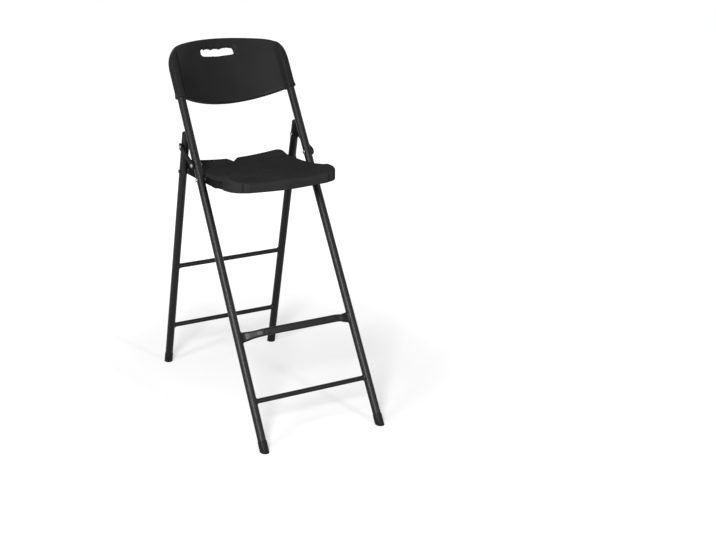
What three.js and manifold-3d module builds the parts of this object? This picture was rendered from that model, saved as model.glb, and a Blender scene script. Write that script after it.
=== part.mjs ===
// A folding bar stool: tube frames, a moulded seat on steel rails, a moulded backrest and two link plates.
// Lengths are millimetres. +X is the sitter's right-hand side seen from the front, +Y points back, +Z up.
// It is modelled open, standing on its four feet.
import * as THREE from "three";
import { mergeVertices } from "three/addons/utils/BufferGeometryUtils.js";
import Module from "manifold-3d";

const wasm = await Module();
wasm.setup();

const degree = Math.PI / 180;
const sides = { left: -1, right: 1 };

// Clearances
const gap = 0.3; // between pieces that touch
const overrun = 40; // how far a cutter runs past what it cuts
const weldGap = 0.0005; // vertices closer than this are one

// Frames: tube, lean, gauge and reach
const tubeRadius = 12.5;
const tubeWall = 1.5;
const frontLean = 32.12 * degree; // the front tubes lean back
const rearLean = 11.71 * degree; // the rear tubes lean forward
const footSpread = 715.2; // front foot to rear foot, between the tube axes on the floor
const footHalfGauge = 196; // from the middle to a tube's axis, at the floor
const pivotHalfGauge = 190; // the same at the seat pivot
const barRadius = 7.5;
const frontLowBarAlong = 146.7; // places are measured along a tube, from the floor
const rearUpperBarAlong = 371.5;
const rearLowBarAlong = 143;

// Linkage: its four pivots lie below the height where the lines of the two frames would cross
const crossingHeight = footSpread / (Math.tan(frontLean) + Math.tan(rearLean));
const seatPivotDrop = 181.3; // seat rail on the front tube
const seatPivotAlong = crossingHeight / Math.cos(frontLean) - seatPivotDrop;
const linkRise = 47; // from there up to the link plate
const linkUpperAlong = seatPivotAlong + linkRise;
const linkLowerDrop = 76.7; // link plate on the rear tube
const linkLowerAlong = crossingHeight / Math.cos(rearLean) - linkLowerDrop;
const seatDrop = 84; // from there down to the seat rail
const seatRearAlong = linkLowerAlong - seatDrop;
const rearTubeEnd = 40; // rear tube above its upper pivot
const rearTubeLength = linkLowerAlong + rearTubeEnd;

// Feet and plugs
const capWall = 1;
const capFloor = 8; // from the tube's end to the floor, along the tube
const capHeight = 32;
const capRound = 1.6;
const plugFlange = 6;
const plugRound = 3;
const plugDepth = 16;

// Rivets, washers and screws
const rivetRadius = 4;
const rivetHeadRadius = 6.2;
const rivetHeadHeight = 2.4;
const washerRadius = 7.5;
const washerThickness = 1;
const screwRadius = 2;
const screwHeadRadius = 4;
const screwHeadHeight = 2.2;
const screwLength = 12;

// Link plates
const plateThickness = 3;
const plateEndRadius = 11.5;
const plateWaist = 9;
const plateTubeX = Math.max(tubeOuterX(linkUpperAlong), tubeOuterX(linkLowerAlong));
const plateInnerX = plateTubeX + washerThickness + 2 * gap;

// Footrest: a flattened tube in the plane of the front tubes
const footrestAlong = 338;
const footrestHeight = 23;
const footrestDepth = 13;
const footrestBow = 34; // how far its straight middle lies in front of the tubes
const footrestBend = 66; // width of each bent end
const footrestFlare = 4; // extra height where it meets the tube

// Backrest: a shell over the tube ends
const backrestRise = 210; // from the link plate's pivot up to the bottom edge
const backBottom = linkUpperAlong + backrestRise;
const backHeight = 220;
const backTop = backBottom + backHeight;
const sleeveRise = 6; // the sleeves end above the bottom edge
const backSleeveBottom = backBottom + sleeveRise;
const sleeveWall = 3.2;
const backHalfWidth = halfGauge(backSleeveBottom) + tubeRadius + gap + sleeveWall;
const backSideHeight = 93; // straight side below the rounded top corner
const backSideTop = backBottom + backSideHeight;
const backCornerRun = 66;
const backShoulderX = backHalfWidth - backCornerRun;
const backCrown = 30; // from the shoulder up to the top
const backShoulder = backTop - backCrown;
const backBow = 77; // how far its middle surface lies behind the tubes
const backBowInset = 24; // the bow starts here, inside the side edge
const backHalfThickness = 10;
const sleeveThickening = 6;
const sleeveWidth = 48;
const sleeveBlend = 20;
const backEdgeRound = 9;
const backScrewRise = 45; // from the bottom edge
const backScrewAlong = backBottom + backScrewRise;
const tubeEngagement = 115; // how far the front tubes reach into the backrest
const frontTubeLength = backBottom + tubeEngagement;

// Hand hole in the backrest
const holeHalfWidth = 59;
const holeHeight = 28;
const holeDrop = 33; // from the top edge
const holeTop = backTop - holeDrop;
const holeBottom = holeTop - holeHeight;
const holeCorner = 11;
const fingerCount = 4;
const fingerDepth = 3.5;
const fingerInset = 8; // from the hole's end to the first finger hollow

// Seat rails: steel angles along the line through both seat pivots
const railTubeX = Math.min(tubeInnerX(seatPivotAlong), tubeInnerX(seatRearAlong));
const railOuterX = railTubeX - washerThickness - 2 * gap;
const railThickness = 3;
const railBelow = 12; // web below and above the pivot line
const railAbove = 7.6;
const railFlange = 14;
const railFront = 128; // in front of the seat pivot
const railBend = 54; // the angle turns up in front of this place
const railKick = 6 * degree;
const railRearRound = 10; // rail behind its rear pivot
const railRearCut = 5;
const railScrewPlaces = [-70, 96];

// Cross strip under the seat
const stripWidth = 20;
const stripThickness = 3;
const stripRivetInset = 12.9; // from the rail's outer face
const stripRivetX = railOuterX - stripRivetInset;
const stripRivetRadius = 2.6;
const stripHeadRadius = 5;
const stripHeadHeight = 2;
const stripEnd = 8; // strip beyond its rivet
const stripMargin = 2; // room beside it in the seat's underside

// Seat shell, measured from the seat pivot: forward is positive
const seatFrontReach = 77; // seat beyond the rail's front end
const seatFront = railFront + seatFrontReach;
const seatRearReach = 52; // seat behind the rear pivot
const seatRear = seatPivots().span + seatRearReach;
const seatRearBow = 8;
const seatSideInset = 2.4; // from the rail's outer face to the seat's edge
const seatHalfWidth = railOuterX - seatSideInset;
const seatFrontFlare = 2.5;
const seatFrontHalfWidth = seatHalfWidth + seatFrontFlare;
const seatShoulder = 112; // where the seat starts to widen
const seatShoulderRun = 16;
const seatFrontCorner = 50;
const seatRearCorner = 38;
const seatFrontWave = 4;
const seatWaveX = 95;
const seatBottom = 15; // underside below the pivot line
const seatFrontLift = 6; // how much the underside rises towards the front
const seatSideLift = 7; // and how much more it rises there at each side
const seatSideLiftX = 150;
const seatRimHeight = 16.5; // side edge above the pivot line
const seatRimRise = 20.5; // how much higher the side edge is at the front
const seatRiseStart = -60;
const seatRiseRun = 196;
const seatRearCurl = 12; // how much the side edge rises again at the rear edge
const seatCurlStart = -120;
const seatCurlRun = 50;
const seatRearDish = 3.5; // how much deeper the dish is at the rear edge
const seatDish = 14;
const seatHump = 6;
const seatHumpWidth = 42;
const seatFrontDrop = 7;
const seatDropStart = 150;
const seatEdgeRound = 7;
const seatUnderRound = 4;
const seatSideStep = 4; // from the seat's edge in to its side wall beside the rail

// V-shaped notch in the top of the seat's rear edge: it is deepest at the edge and runs out forwards
const notchHalfWidth = 12.8;
const notchDepth = 12;
const notchReach = 30;
const notchShares = [0.02, 2]; // its cutter's ends from its forward point, as shares of its reach
const notchOverrun = 2; // how much wider and higher the cutter is than the notch

// Recessed bands and pockets of the underside: each band's front and rear ends, measured from
// the seat's rear edge as shares of its length
const bandShares = [[0.86, 0.7], [0.528, 0.413], [0.367, 0.254], [0.192, 0.079]];
const bandSideMargin = 32.4; // from the rail's flange
const bandHalfWidth = railOuterX - railThickness - railFlange - bandSideMargin;
const bandDepth = 8;
const bandCorner = 6;
const frontBandCorner = 26; // the front band's outer corners are cut at a slant
const pocketCount = 5;
const pocketWidth = 21;
const pocketSideMargin = 18.5; // from the band's side to its first pocket
const pocketDepth = 6;
const pocketCorner = 4;
const pocketInset = 11; // from the band's end to the pocket

// Resolution
const tubeSides = 24;
const barSides = 16;
const smallSides = 12;
const halfOutlinePoints = 32;
const straightOnly = 1; // an outline without curves needs no more
const handHoleSteps = 5; // steps to a curve
const pocketSteps = 2;
const plateEndSteps = 8;

// Finishes
const blackSteel = { color: 0x1b1b1c, roughness: 0.42, metalness: 0.35 };
const blackPlastic = { color: 0x2a2a2b, roughness: 0.55, metalness: 0 };
const capPlastic = { color: 0x161617, roughness: 0.7, metalness: 0 };
const brightSteel = { color: 0xc4c4c6, roughness: 0.35, metalness: 0.9 };
const greyNylon = { color: 0x4a4a4c, roughness: 0.6, metalness: 0 };

// Turns a closed geometry into a solid whose faces point out.
function solidOf(geometry) {
  const bare = geometry.index ? geometry.toNonIndexed() : geometry.clone();
  bare.deleteAttribute("normal");
  bare.deleteAttribute("uv");
  const merged = mergeVertices(bare, weldGap);
  const vertProperties = merged.getAttribute("position").array;
  const triVerts = new Uint32Array(merged.index.array);
  const made = new wasm.Manifold(new wasm.Mesh({ numProp: 3, vertProperties, triVerts }));
  if (made.volume() > 0) return made;
  return new wasm.Manifold(
    new wasm.Mesh({ numProp: 3, vertProperties, triVerts: triVerts.reverse() }),
  );
}

function meshOf(name, solid, finish) {
  const made = solid.getMesh();
  const geometry = new THREE.BufferGeometry();
  geometry.setAttribute("position", new THREE.BufferAttribute(made.vertProperties, 3));
  geometry.setIndex(new THREE.BufferAttribute(made.triVerts, 1));
  geometry.computeVertexNormals();
  const mesh = new THREE.Mesh(geometry, new THREE.MeshStandardMaterial(finish));
  mesh.name = name;
  return mesh;
}

// A solid round bar between two points.
function rod(from, to, radius, rodSides) {
  const along = new THREE.Vector3().subVectors(to, from);
  const geometry = new THREE.CylinderGeometry(radius, radius, along.length(), rodSides);
  const turn = new THREE.Quaternion().setFromUnitVectors(
    new THREE.Vector3(0, 1, 0),
    along.clone().normalize(),
  );
  geometry.applyQuaternion(turn);
  const middle = new THREE.Vector3().addVectors(from, to).multiplyScalar(0.5);
  geometry.translate(middle.x, middle.y, middle.z);
  return solidOf(geometry);
}

// A turned piece: its profile lists radius and height pairs. Its axis starts at a point and runs along
// a direction.
function turned(profile, start, direction, turnedSides) {
  const points = profile.map(([radius, height]) => new THREE.Vector2(radius, height));
  const geometry = new THREE.LatheGeometry(points, turnedSides);
  const turn = new THREE.Quaternion().setFromUnitVectors(new THREE.Vector3(0, 1, 0), direction);
  geometry.applyQuaternion(turn);
  geometry.translate(start.x, start.y, start.z);
  return solidOf(geometry);
}

// A closed skin over a stack of rings with equal numbers of points, capped at both ends.
function skinned(rings) {
  const count = rings[0].length;
  const points = rings.flat();
  const index = [];
  for (let ring = 0; ring + 1 < rings.length; ring += 1) {
    for (let i = 0; i < count; i += 1) {
      const a = ring * count + i;
      const b = ring * count + ((i + 1) % count);
      index.push(a, b, a + count, b, b + count, a + count);
    }
  }
  for (const first of [true, false]) {
    const base = first ? 0 : (rings.length - 1) * count;
    const middle = new THREE.Vector3();
    for (const point of points.slice(base, base + count)) middle.addScaledVector(point, 1 / count);
    points.push(middle);
    for (let i = 0; i < count; i += 1) {
      const next = (i + 1) % count;
      const pair = first ? [base + next, base + i] : [base + i, base + next];
      index.push(points.length - 1, ...pair);
    }
  }
  const geometry = new THREE.BufferGeometry().setFromPoints(points);
  geometry.setIndex(index);
  return solidOf(geometry);
}

// A flat outline in the side plane, given thickness between two places across the stool.
function sidePlate(shape, fromX, toX, curveSegments) {
  const low = Math.min(fromX, toX);
  const settings = { depth: Math.abs(toX - fromX), bevelEnabled: false, curveSegments };
  const geometry = new THREE.ExtrudeGeometry(shape, settings);
  const basis = new THREE.Matrix4().makeBasis(
    new THREE.Vector3(0, 1, 0),
    new THREE.Vector3(0, 0, 1),
    new THREE.Vector3(1, 0, 0),
  );
  geometry.applyMatrix4(basis);
  geometry.translate(low, 0, 0);
  return solidOf(geometry);
}

// A box given by its lowest and highest corners.
function block(low, high) {
  const size = new THREE.Vector3().subVectors(high, low);
  const geometry = new THREE.BoxGeometry(size.x, size.y, size.z);
  geometry.translate(low.x + size.x / 2, low.y + size.y / 2, low.z + size.z / 2);
  return solidOf(geometry);
}

// A domed rivet head's profile, from its rim to its crown.
function domeProfile(radius, height, base) {
  const rimShare = 0.35;
  const crownShares = [[1, rimShare], [0.7, 0.85]];
  const dome = crownShares.map(([across, up]) => [radius * across, base + height * up]);
  return [...dome, [0, base + height]];
}

// A rivet with a head at each end: the shank's ends and head sizes are given along its own axis.
function rivet(start, direction, length, shankRadius, headRadius, headHeight) {
  const foot = domeProfile(headRadius, headHeight, 0).map(([radius, height]) => [radius, -height]);
  const profile = [
    ...foot.reverse(),
    [headRadius, 0],
    [shankRadius, 0],
    [shankRadius, length],
    [headRadius, length],
    ...domeProfile(headRadius, headHeight, length),
  ];
  return turned(profile, start, direction, smallSides);
}

function washer(start, direction, thickness) {
  const hole = rivetRadius + gap;
  const profile = [
    [hole, 0],
    [washerRadius, 0],
    [washerRadius, thickness],
    [hole, thickness],
    [hole, 0],
  ];
  return turned(profile, start, direction, smallSides);
}

// Half the distance between a frame's tube axes, at a place along the tubes.
function halfGauge(along) {
  return footHalfGauge - ((footHalfGauge - pivotHalfGauge) * along) / seatPivotAlong;
}

function tubeInnerX(along) {
  return halfGauge(along) - tubeRadius;
}

function tubeOuterX(along) {
  return halfGauge(along) + tubeRadius;
}

// A point of a frame in its own plane: behind is measured square to that plane.
function framePoint(side, along, behind = 0) {
  return new THREE.Vector3(side * halfGauge(along), behind, along);
}

function acrossHole(side, along, radius) {
  const point = framePoint(side, along);
  const reach = new THREE.Vector3(tubeRadius + overrun, 0, 0);
  return rod(point.clone().sub(reach), point.clone().add(reach), radius, smallSides);
}

// A frame tube with its rivet holes, from above its foot cap's floor to its upper end.
function frameTube(side, length, pivots) {
  const from = framePoint(side, capFloor + gap);
  const to = framePoint(side, length);
  const outer = rod(from, to, tubeRadius, tubeSides);
  const inner = rod(
    framePoint(side, -overrun),
    framePoint(side, length + overrun),
    tubeRadius - tubeWall,
    tubeSides,
  );
  let tube = outer.subtract(inner);
  for (const along of pivots) tube = tube.subtract(acrossHole(side, along, rivetRadius + gap));
  return tube;
}

// A frame's tube as a plain bar, grown by the clearance, to cut what is fitted to it.
function tubeClearance(side, from, to) {
  return rod(framePoint(side, from), framePoint(side, to), tubeRadius + gap, tubeSides);
}

// A straight bar welded between the tubes of a frame, its ends shaped to the tubes.
function crossBar(along) {
  const start = framePoint(sides.left, along);
  const end = framePoint(sides.right, along);
  let bar = rod(start, end, barRadius, barSides);
  for (const side of Object.values(sides)) {
    bar = bar.subtract(tubeClearance(side, along - overrun, along + overrun));
  }
  return bar;
}

// A plastic cap over a tube's foot, cut level with the floor. Lean is positive when the frame leans back.
function footCap(side, lean) {
  const radius = tubeRadius + gap + capWall;
  const profile = [
    [0, -radius],
    [radius, -radius],
    [radius, capHeight - capRound],
    [radius - capRound / 2, capHeight],
    [0, capHeight],
  ];
  const base = framePoint(side, 0);
  const direction = new THREE.Vector3()
    .subVectors(framePoint(side, seatPivotAlong), base)
    .normalize();
  const body = turned(profile, base, direction, tubeSides);
  const socket = rod(
    framePoint(side, capFloor),
    framePoint(side, capHeight + overrun),
    tubeRadius + gap,
    tubeSides,
  );
  const reach = 2 * (radius + overrun);
  const below = new THREE.BoxGeometry(reach, reach, overrun);
  below.translate(0, 0, -overrun / 2);
  below.rotateX(lean);
  below.translate(base.x, 0, 0);
  return body.subtract(socket).subtract(solidOf(below));
}

// The plug in a rear tube's upper end.
function topPlug(side) {
  const cornerShare = 0.3;
  const stemRadius = tubeRadius - tubeWall - gap;
  const start = framePoint(side, rearTubeLength + gap);
  const direction = new THREE.Vector3().subVectors(start, framePoint(side, 0)).normalize();
  const profile = [
    [0, -plugDepth],
    [stemRadius, -plugDepth],
    [stemRadius, 0],
    [tubeRadius, 0],
    [tubeRadius, plugFlange - plugRound],
    [tubeRadius - plugRound * cornerShare, plugFlange - plugRound * cornerShare],
    [tubeRadius - plugRound, plugFlange],
    [0, plugFlange],
  ];
  return turned(profile, start, direction, tubeSides);
}

// The footrest: a stadium section that runs straight across in front of the tubes and bends back at its ends.
function footrest() {
  const halfSpan = halfGauge(footrestAlong);
  const straight = halfSpan - tubeRadius - footrestBend;
  const bendShares = [0, 0.2, 0.45, 0.7, 0.88, 1];
  const endFlareShare = 0.6;
  const places = [[halfSpan, 0, 1]];
  for (const share of bendShares) {
    const x = straight + footrestBend * (1 - share);
    const eased = share * share * (3 - 2 * share);
    places.push([x, -footrestBow * eased, Math.max(0, 1 - share / endFlareShare)]);
  }
  const all = [...places, ...places.map(([x, off, flare]) => [-x, off, flare]).reverse()];
  const rings = all.map(([x, off, flare]) => footrestRing(x, off, flare));
  let bar = skinned(rings);
  for (const side of Object.values(sides)) {
    const reach = footrestHeight + overrun;
    bar = bar.subtract(tubeClearance(side, footrestAlong - reach, footrestAlong + reach));
  }
  return bar;
}

function footrestRing(x, off, flare) {
  const round = footrestDepth / 2;
  const straight = footrestHeight / 2 - round + footrestFlare * flare;
  const steps = smallSides / 2;
  const ring = [];
  for (const end of [1, -1]) {
    for (let i = 0; i <= steps; i += 1) {
      const turn = (Math.PI * i) / steps;
      const behind = off + end * round * Math.cos(turn);
      const along = footrestAlong + end * (straight + round * Math.sin(turn));
      ring.push(new THREE.Vector3(x, behind, along));
    }
  }
  return ring;
}

// Mirrors the right half of an outline, which starts and ends on the middle line.
function mirrored(half) {
  const left = half.slice(1, -1).reverse();
  return [...half, ...left.map((point) => new THREE.Vector2(-point.x, point.y))];
}

// The unit normal of a closed outline at each of its points, pointing inwards.
function inwardNormals(outline) {
  return outline.map((_, i) => {
    const before = outline[(i + outline.length - 1) % outline.length];
    const after = outline[(i + 1) % outline.length];
    return new THREE.Vector2(before.y - after.y, after.x - before.x).normalize();
  });
}

function inset(outline, distance) {
  const normals = inwardNormals(outline);
  return outline.map((point, i) => point.clone().addScaledVector(normals[i], distance));
}

function shrunk(outline, centre, share) {
  return outline.map((point) => point.clone().sub(centre).multiplyScalar(share).add(centre));
}

function smoothStep(value) {
  const share = Math.min(1, Math.max(0, value));
  return share * share * (3 - 2 * share);
}

function backOutline() {
  const path = new THREE.Path();
  const corner = backSleeveBottom - backBottom;
  const sideCurve = (backShoulder - backSideTop) / 2;
  const shoulderRunShare = 0.66;
  const shoulderDropShare = 0.65;
  const shoulderRun = (backHalfWidth - backShoulderX) * shoulderRunShare;
  path.moveTo(0, backBottom);
  path.quadraticCurveTo(backShoulderX, backBottom, backHalfWidth - corner, backSleeveBottom);
  path.quadraticCurveTo(backHalfWidth, backSleeveBottom, backHalfWidth, backSleeveBottom + corner);
  path.lineTo(backHalfWidth, backSideTop);
  path.bezierCurveTo(
    backHalfWidth,
    backSideTop + sideCurve,
    backShoulderX + shoulderRun,
    backShoulder - (backTop - backShoulder) * shoulderDropShare,
    backShoulderX,
    backShoulder,
  );
  path.quadraticCurveTo(backShoulderX / 2, backTop, 0, backTop);
  return mirrored(path.getSpacedPoints(halfOutlinePoints));
}

// How far the backrest's middle surface lies behind the tubes, and its half thickness, at a place across it.
function backMiddle(x) {
  const share = Math.min(1, Math.abs(x) / (backHalfWidth - backBowInset));
  return backBow * (1 - share * share);
}

function backHalf(x) {
  const swell = smoothStep((Math.abs(x) - backHalfWidth + sleeveWidth) / sleeveBlend);
  return backHalfThickness + sleeveThickening * swell;
}

function backRing(points, face, edgeShare) {
  return points.map((point) => {
    const behind = backMiddle(point.x) + face * edgeShare * backHalf(point.x);
    return new THREE.Vector3(point.x, behind, point.y);
  });
}

function backrest() {
  const outline = backOutline();
  const centre = new THREE.Vector2(0, (backBottom + backTop) / 2);
  const edgeShares = [[0, 0.3], [0.12, 0.62], [0.45, 0.9], [1, 1]];
  const innerShares = [0.93, 0.84, 0.66, 0.44, 0.22];
  const inner = inset(outline, backEdgeRound);
  const front = [
    ...innerShares.toReversed().map((share) => backRing(shrunk(inner, centre, share), -1, 1)),
    ...edgeShares
      .toReversed()
      .map(([share, edge]) => backRing(inset(outline, backEdgeRound * share), -1, edge)),
  ];
  const rear = [
    ...edgeShares.map(([share, edge]) => backRing(inset(outline, backEdgeRound * share), 1, edge)),
    ...innerShares.map((share) => backRing(shrunk(inner, centre, share), 1, 1)),
  ];
  let shell = skinned([...front, ...rear]).subtract(handHole());
  for (const side of Object.values(sides)) {
    shell = shell.subtract(tubeClearance(side, backBottom - overrun, frontTubeLength + gap));
    shell = shell.subtract(backScrewHole(side));
  }
  return shell;
}

// The hand hole: straight below, with a row of finger hollows above.
function handHole() {
  const shape = new THREE.Shape();
  const fingerRun = (2 * (holeHalfWidth - fingerInset)) / fingerCount;
  const shoulder = holeTop - fingerDepth;
  shape.moveTo(-holeHalfWidth + holeCorner, holeBottom);
  shape.lineTo(holeHalfWidth - holeCorner, holeBottom);
  shape.quadraticCurveTo(holeHalfWidth, holeBottom, holeHalfWidth, holeBottom + holeCorner);
  shape.quadraticCurveTo(holeHalfWidth, shoulder, holeHalfWidth - fingerInset, shoulder);
  for (let finger = 0; finger < fingerCount; finger += 1) {
    const from = holeHalfWidth - fingerInset - finger * fingerRun;
    const crown = shoulder + 2 * fingerDepth;
    shape.quadraticCurveTo(from - fingerRun / 2, crown, from - fingerRun, shoulder);
  }
  shape.quadraticCurveTo(-holeHalfWidth, shoulder, -holeHalfWidth, holeBottom + holeCorner);
  shape.quadraticCurveTo(-holeHalfWidth, holeBottom, -holeHalfWidth + holeCorner, holeBottom);
  const settings = { depth: backBow + overrun, bevelEnabled: false, curveSegments: handHoleSteps };
  const geometry = new THREE.ExtrudeGeometry(shape, settings);
  geometry.rotateX(Math.PI / 2);
  geometry.translate(0, backBow + overrun, 0);
  return solidOf(geometry);
}

// The backrest screw's hole, with room for its head.
function backScrewHole(side) {
  const from = framePoint(side, backScrewAlong);
  const seat = backScrewStart(side);
  seat.y -= gap / 2;
  const to = seat.clone();
  to.y += overrun;
  const hole = rod(from, to, screwRadius + gap, smallSides);
  return hole.add(rod(seat, to, screwHeadRadius + gap, smallSides));
}

// A round-headed screw: it starts under its head and runs along a direction.
function screw(start, direction, length) {
  const head = domeProfile(screwHeadRadius, screwHeadHeight, 0).map(([r, h]) => [r, -h]);
  const profile = [
    ...head.reverse(),
    [screwHeadRadius, 0],
    [screwRadius, 0],
    [screwRadius, length - screwRadius],
    [0, length],
  ];
  return turned(profile, start, direction, smallSides);
}

// The backrest screw goes in from behind, through the sleeve and into a hole in the tube's wall.
function backScrewStart(side) {
  const innerX = halfGauge(backScrewAlong) - screwHeadRadius;
  return framePoint(side, backScrewAlong, backMiddle(innerX) + backHalf(innerX) + gap);
}

function seatOutline() {
  const path = new THREE.Path();
  const rearSide = -(seatRear - seatRearBow);
  path.moveTo(0, -seatRear);
  path.quadraticCurveTo(
    seatHalfWidth / 2,
    -seatRear,
    seatHalfWidth - seatRearCorner,
    rearSide,
  );
  path.quadraticCurveTo(seatHalfWidth, rearSide, seatHalfWidth, rearSide + seatRearCorner);
  path.lineTo(seatHalfWidth, seatShoulder);
  path.bezierCurveTo(
    seatHalfWidth,
    seatShoulder + seatShoulderRun / 2,
    seatFrontHalfWidth,
    seatShoulder + seatShoulderRun / 2,
    seatFrontHalfWidth,
    seatShoulder + seatShoulderRun,
  );
  path.lineTo(seatFrontHalfWidth, seatFront - seatFrontCorner);
  path.quadraticCurveTo(
    seatFrontHalfWidth,
    seatFront,
    seatFrontHalfWidth - seatFrontCorner,
    seatFront,
  );
  path.bezierCurveTo(
    seatWaveX,
    seatFront - seatFrontWave,
    seatWaveX / 2,
    seatFront - seatFrontWave,
    0,
    seatFront,
  );
  return mirrored(path.getSpacedPoints(halfOutlinePoints));
}

// How far the seat curls up towards its rear edge, as a share.
function rearCurl(forward) {
  return smoothStep((seatCurlStart - forward) / seatCurlRun);
}

// The height of the seat's side edge, and of its dished top, over the pivot line.
function seatRim(forward) {
  const share = Math.min(1, Math.max(0, (forward - seatRiseStart) / seatRiseRun));
  return seatRimHeight + seatRimRise * share * share + seatRearCurl * rearCurl(forward);
}

function seatTop(x, forward) {
  const across = Math.min(1, Math.abs(x) / seatHalfWidth);
  const frontShare = smoothStep((forward - seatRiseStart) / (seatFront - seatRiseStart));
  const hump = seatHump * frontShare * Math.exp(-((x / seatHumpWidth) ** 2));
  const dropShare = Math.max(0, (forward - seatDropStart) / (seatFront - seatDropStart));
  const dish = (seatDish + seatRearDish * rearCurl(forward)) * (1 - across * across);
  return seatRim(forward) - dish + hump - seatFrontDrop * dropShare ** 2;
}

function seatUnder(x, forward) {
  const share = Math.max(0, (forward - railBend) / (seatFront - railBend));
  return -seatBottom + share * (seatFrontLift + seatSideLift * (x / seatSideLiftX) ** 2);
}

// A ring of the seat shell: across and forward from the outline, height from a function of both.
function seatRing(points, heightAt) {
  return points.map((point) => new THREE.Vector3(point.x, -point.y, heightAt(point.x, point.y)));
}

function seatShell() {
  const outline = seatOutline();
  const centre = new THREE.Vector2(0, (seatFront - seatRear) / 2);
  const inner = inset(outline, seatEdgeRound);
  const under = inset(outline, seatUnderRound);
  const edgeShares = [[0, 1], [0.25, 0.4], [0.6, 0.1], [1, 0]];
  const innerShares = [0.9, 0.76, 0.6, 0.42, 0.22];
  const underShares = [0.3, 0.6, 0.82];
  const rings = [
    ...underShares.map((share) => seatRing(shrunk(under, centre, share), seatUnder)),
    seatRing(under, seatUnder),
    seatRing(outline, (x, forward) => seatUnder(x, forward) + seatUnderRound),
    ...edgeShares.map(([share, drop]) =>
      seatRing(
        inset(outline, seatEdgeRound * share),
        (x, forward) => seatTop(x, forward) - seatEdgeRound * drop,
      ),
    ),
    ...innerShares.map((share) => seatRing(shrunk(inner, centre, share), seatTop)),
  ];
  let shell = skinned(rings).subtract(notch());
  for (const side of Object.values(sides)) shell = shell.subtract(railRebate(side));
  shell = shell.subtract(stripChannel());
  for (const shares of bandShares) {
    const [front, rear] = shares.map((share) => (seatFront + seatRear) * share - seatRear);
    shell = shell.subtract(band(front, rear));
  }
  return shell;
}

// The channel across the underside that the cross strip lies in.
function stripChannel() {
  const half = stripWidth / 2 + stripMargin;
  return block(
    new THREE.Vector3(-railOuterX - overrun, -railBend - half, -seatBottom - overrun),
    new THREE.Vector3(railOuterX + overrun, -railBend + half, -railBelow),
  );
}

function notch() {
  const tipForward = notchReach - seatRear;
  const tipHeight = seatTop(0, tipForward);
  const low = seatTop(0, -seatRear) - notchDepth;
  const rings = notchShares.map((share) => {
    const y = share * notchReach - tipForward;
    const height = tipHeight + (low - tipHeight) * share;
    const across = notchHalfWidth * share * notchOverrun;
    const up = height + notchDepth * share * notchOverrun;
    return [
      new THREE.Vector3(0, y, height),
      new THREE.Vector3(across, y, up),
      new THREE.Vector3(-across, y, up),
    ];
  });
  return skinned(rings);
}

// One recessed band of the underside with its row of pockets.
function band(front, rear) {
  const isFront = front > railBend;
  const level = seatUnder(0, front);
  const corner = isFront ? frontBandCorner : bandCorner;
  const shape = new THREE.Shape();
  shape.moveTo(-bandHalfWidth, -rear);
  shape.lineTo(bandHalfWidth, -rear);
  shape.lineTo(bandHalfWidth, -front + corner);
  shape.lineTo(bandHalfWidth - corner, -front);
  shape.lineTo(-bandHalfWidth + corner, -front);
  shape.lineTo(-bandHalfWidth, -front + corner);
  const settings = { depth: bandDepth + overrun, bevelEnabled: false };
  const recess = new THREE.ExtrudeGeometry(shape, settings);
  recess.translate(0, 0, level - overrun);
  let cut = solidOf(recess);
  const firstX = bandHalfWidth - pocketSideMargin - pocketWidth / 2;
  for (let i = 0; i < pocketCount; i += 1) {
    const x = firstX * ((2 * i) / (pocketCount - 1) - 1);
    cut = cut.add(pocket(x, -front + pocketInset, -rear - pocketInset, level + bandDepth));
  }
  return cut;
}

function pocket(x, from, to, level) {
  const half = pocketWidth / 2;
  const shape = new THREE.Shape();
  shape.moveTo(x - half + pocketCorner, from);
  shape.lineTo(x + half - pocketCorner, from);
  shape.quadraticCurveTo(x + half, from, x + half, from + pocketCorner);
  shape.lineTo(x + half, to - pocketCorner);
  shape.quadraticCurveTo(x + half, to, x + half - pocketCorner, to);
  shape.lineTo(x - half + pocketCorner, to);
  shape.quadraticCurveTo(x - half, to, x - half, to - pocketCorner);
  shape.lineTo(x - half, from + pocketCorner);
  shape.quadraticCurveTo(x - half, from, x - half + pocketCorner, from);
  const depth = pocketDepth + bandDepth;
  const settings = { depth, bevelEnabled: false, curveSegments: pocketSteps };
  const geometry = new THREE.ExtrudeGeometry(shape, settings);
  geometry.translate(0, 0, level - bandDepth);
  return solidOf(geometry);
}

// The distance between the two seat pivots, worked out in the side plane.
function seatPivots() {
  const front = new THREE.Vector2(
    seatPivotAlong * Math.sin(frontLean),
    seatPivotAlong * Math.cos(frontLean),
  );
  const rear = new THREE.Vector2(
    footSpread - seatRearAlong * Math.sin(rearLean),
    seatRearAlong * Math.cos(rearLean),
  );
  return { front, rear, span: front.distanceTo(rear), tilt: rear.clone().sub(front).angle() };
}

// Outline of the rail between two heights over the pivot line, growing by a margin, its rear corners cut off.
function railOutline(below, above, margin, cut) {
  const rise = (railFront - railBend) * Math.tan(railKick);
  const rearEnd = seatPivots().span + railRearRound + margin;
  const shape = new THREE.Shape();
  shape.moveTo(rearEnd, below - margin + cut);
  shape.lineTo(rearEnd, above + margin - cut);
  if (cut > 0) shape.lineTo(rearEnd - cut, above + margin);
  shape.lineTo(-railBend, above + margin);
  shape.lineTo(-railFront - margin, above + rise + margin);
  shape.lineTo(-railFront - margin, below + rise - margin);
  shape.lineTo(-railBend, below - margin);
  if (cut > 0) shape.lineTo(rearEnd - cut, below - margin);
  return shape;
}

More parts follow.
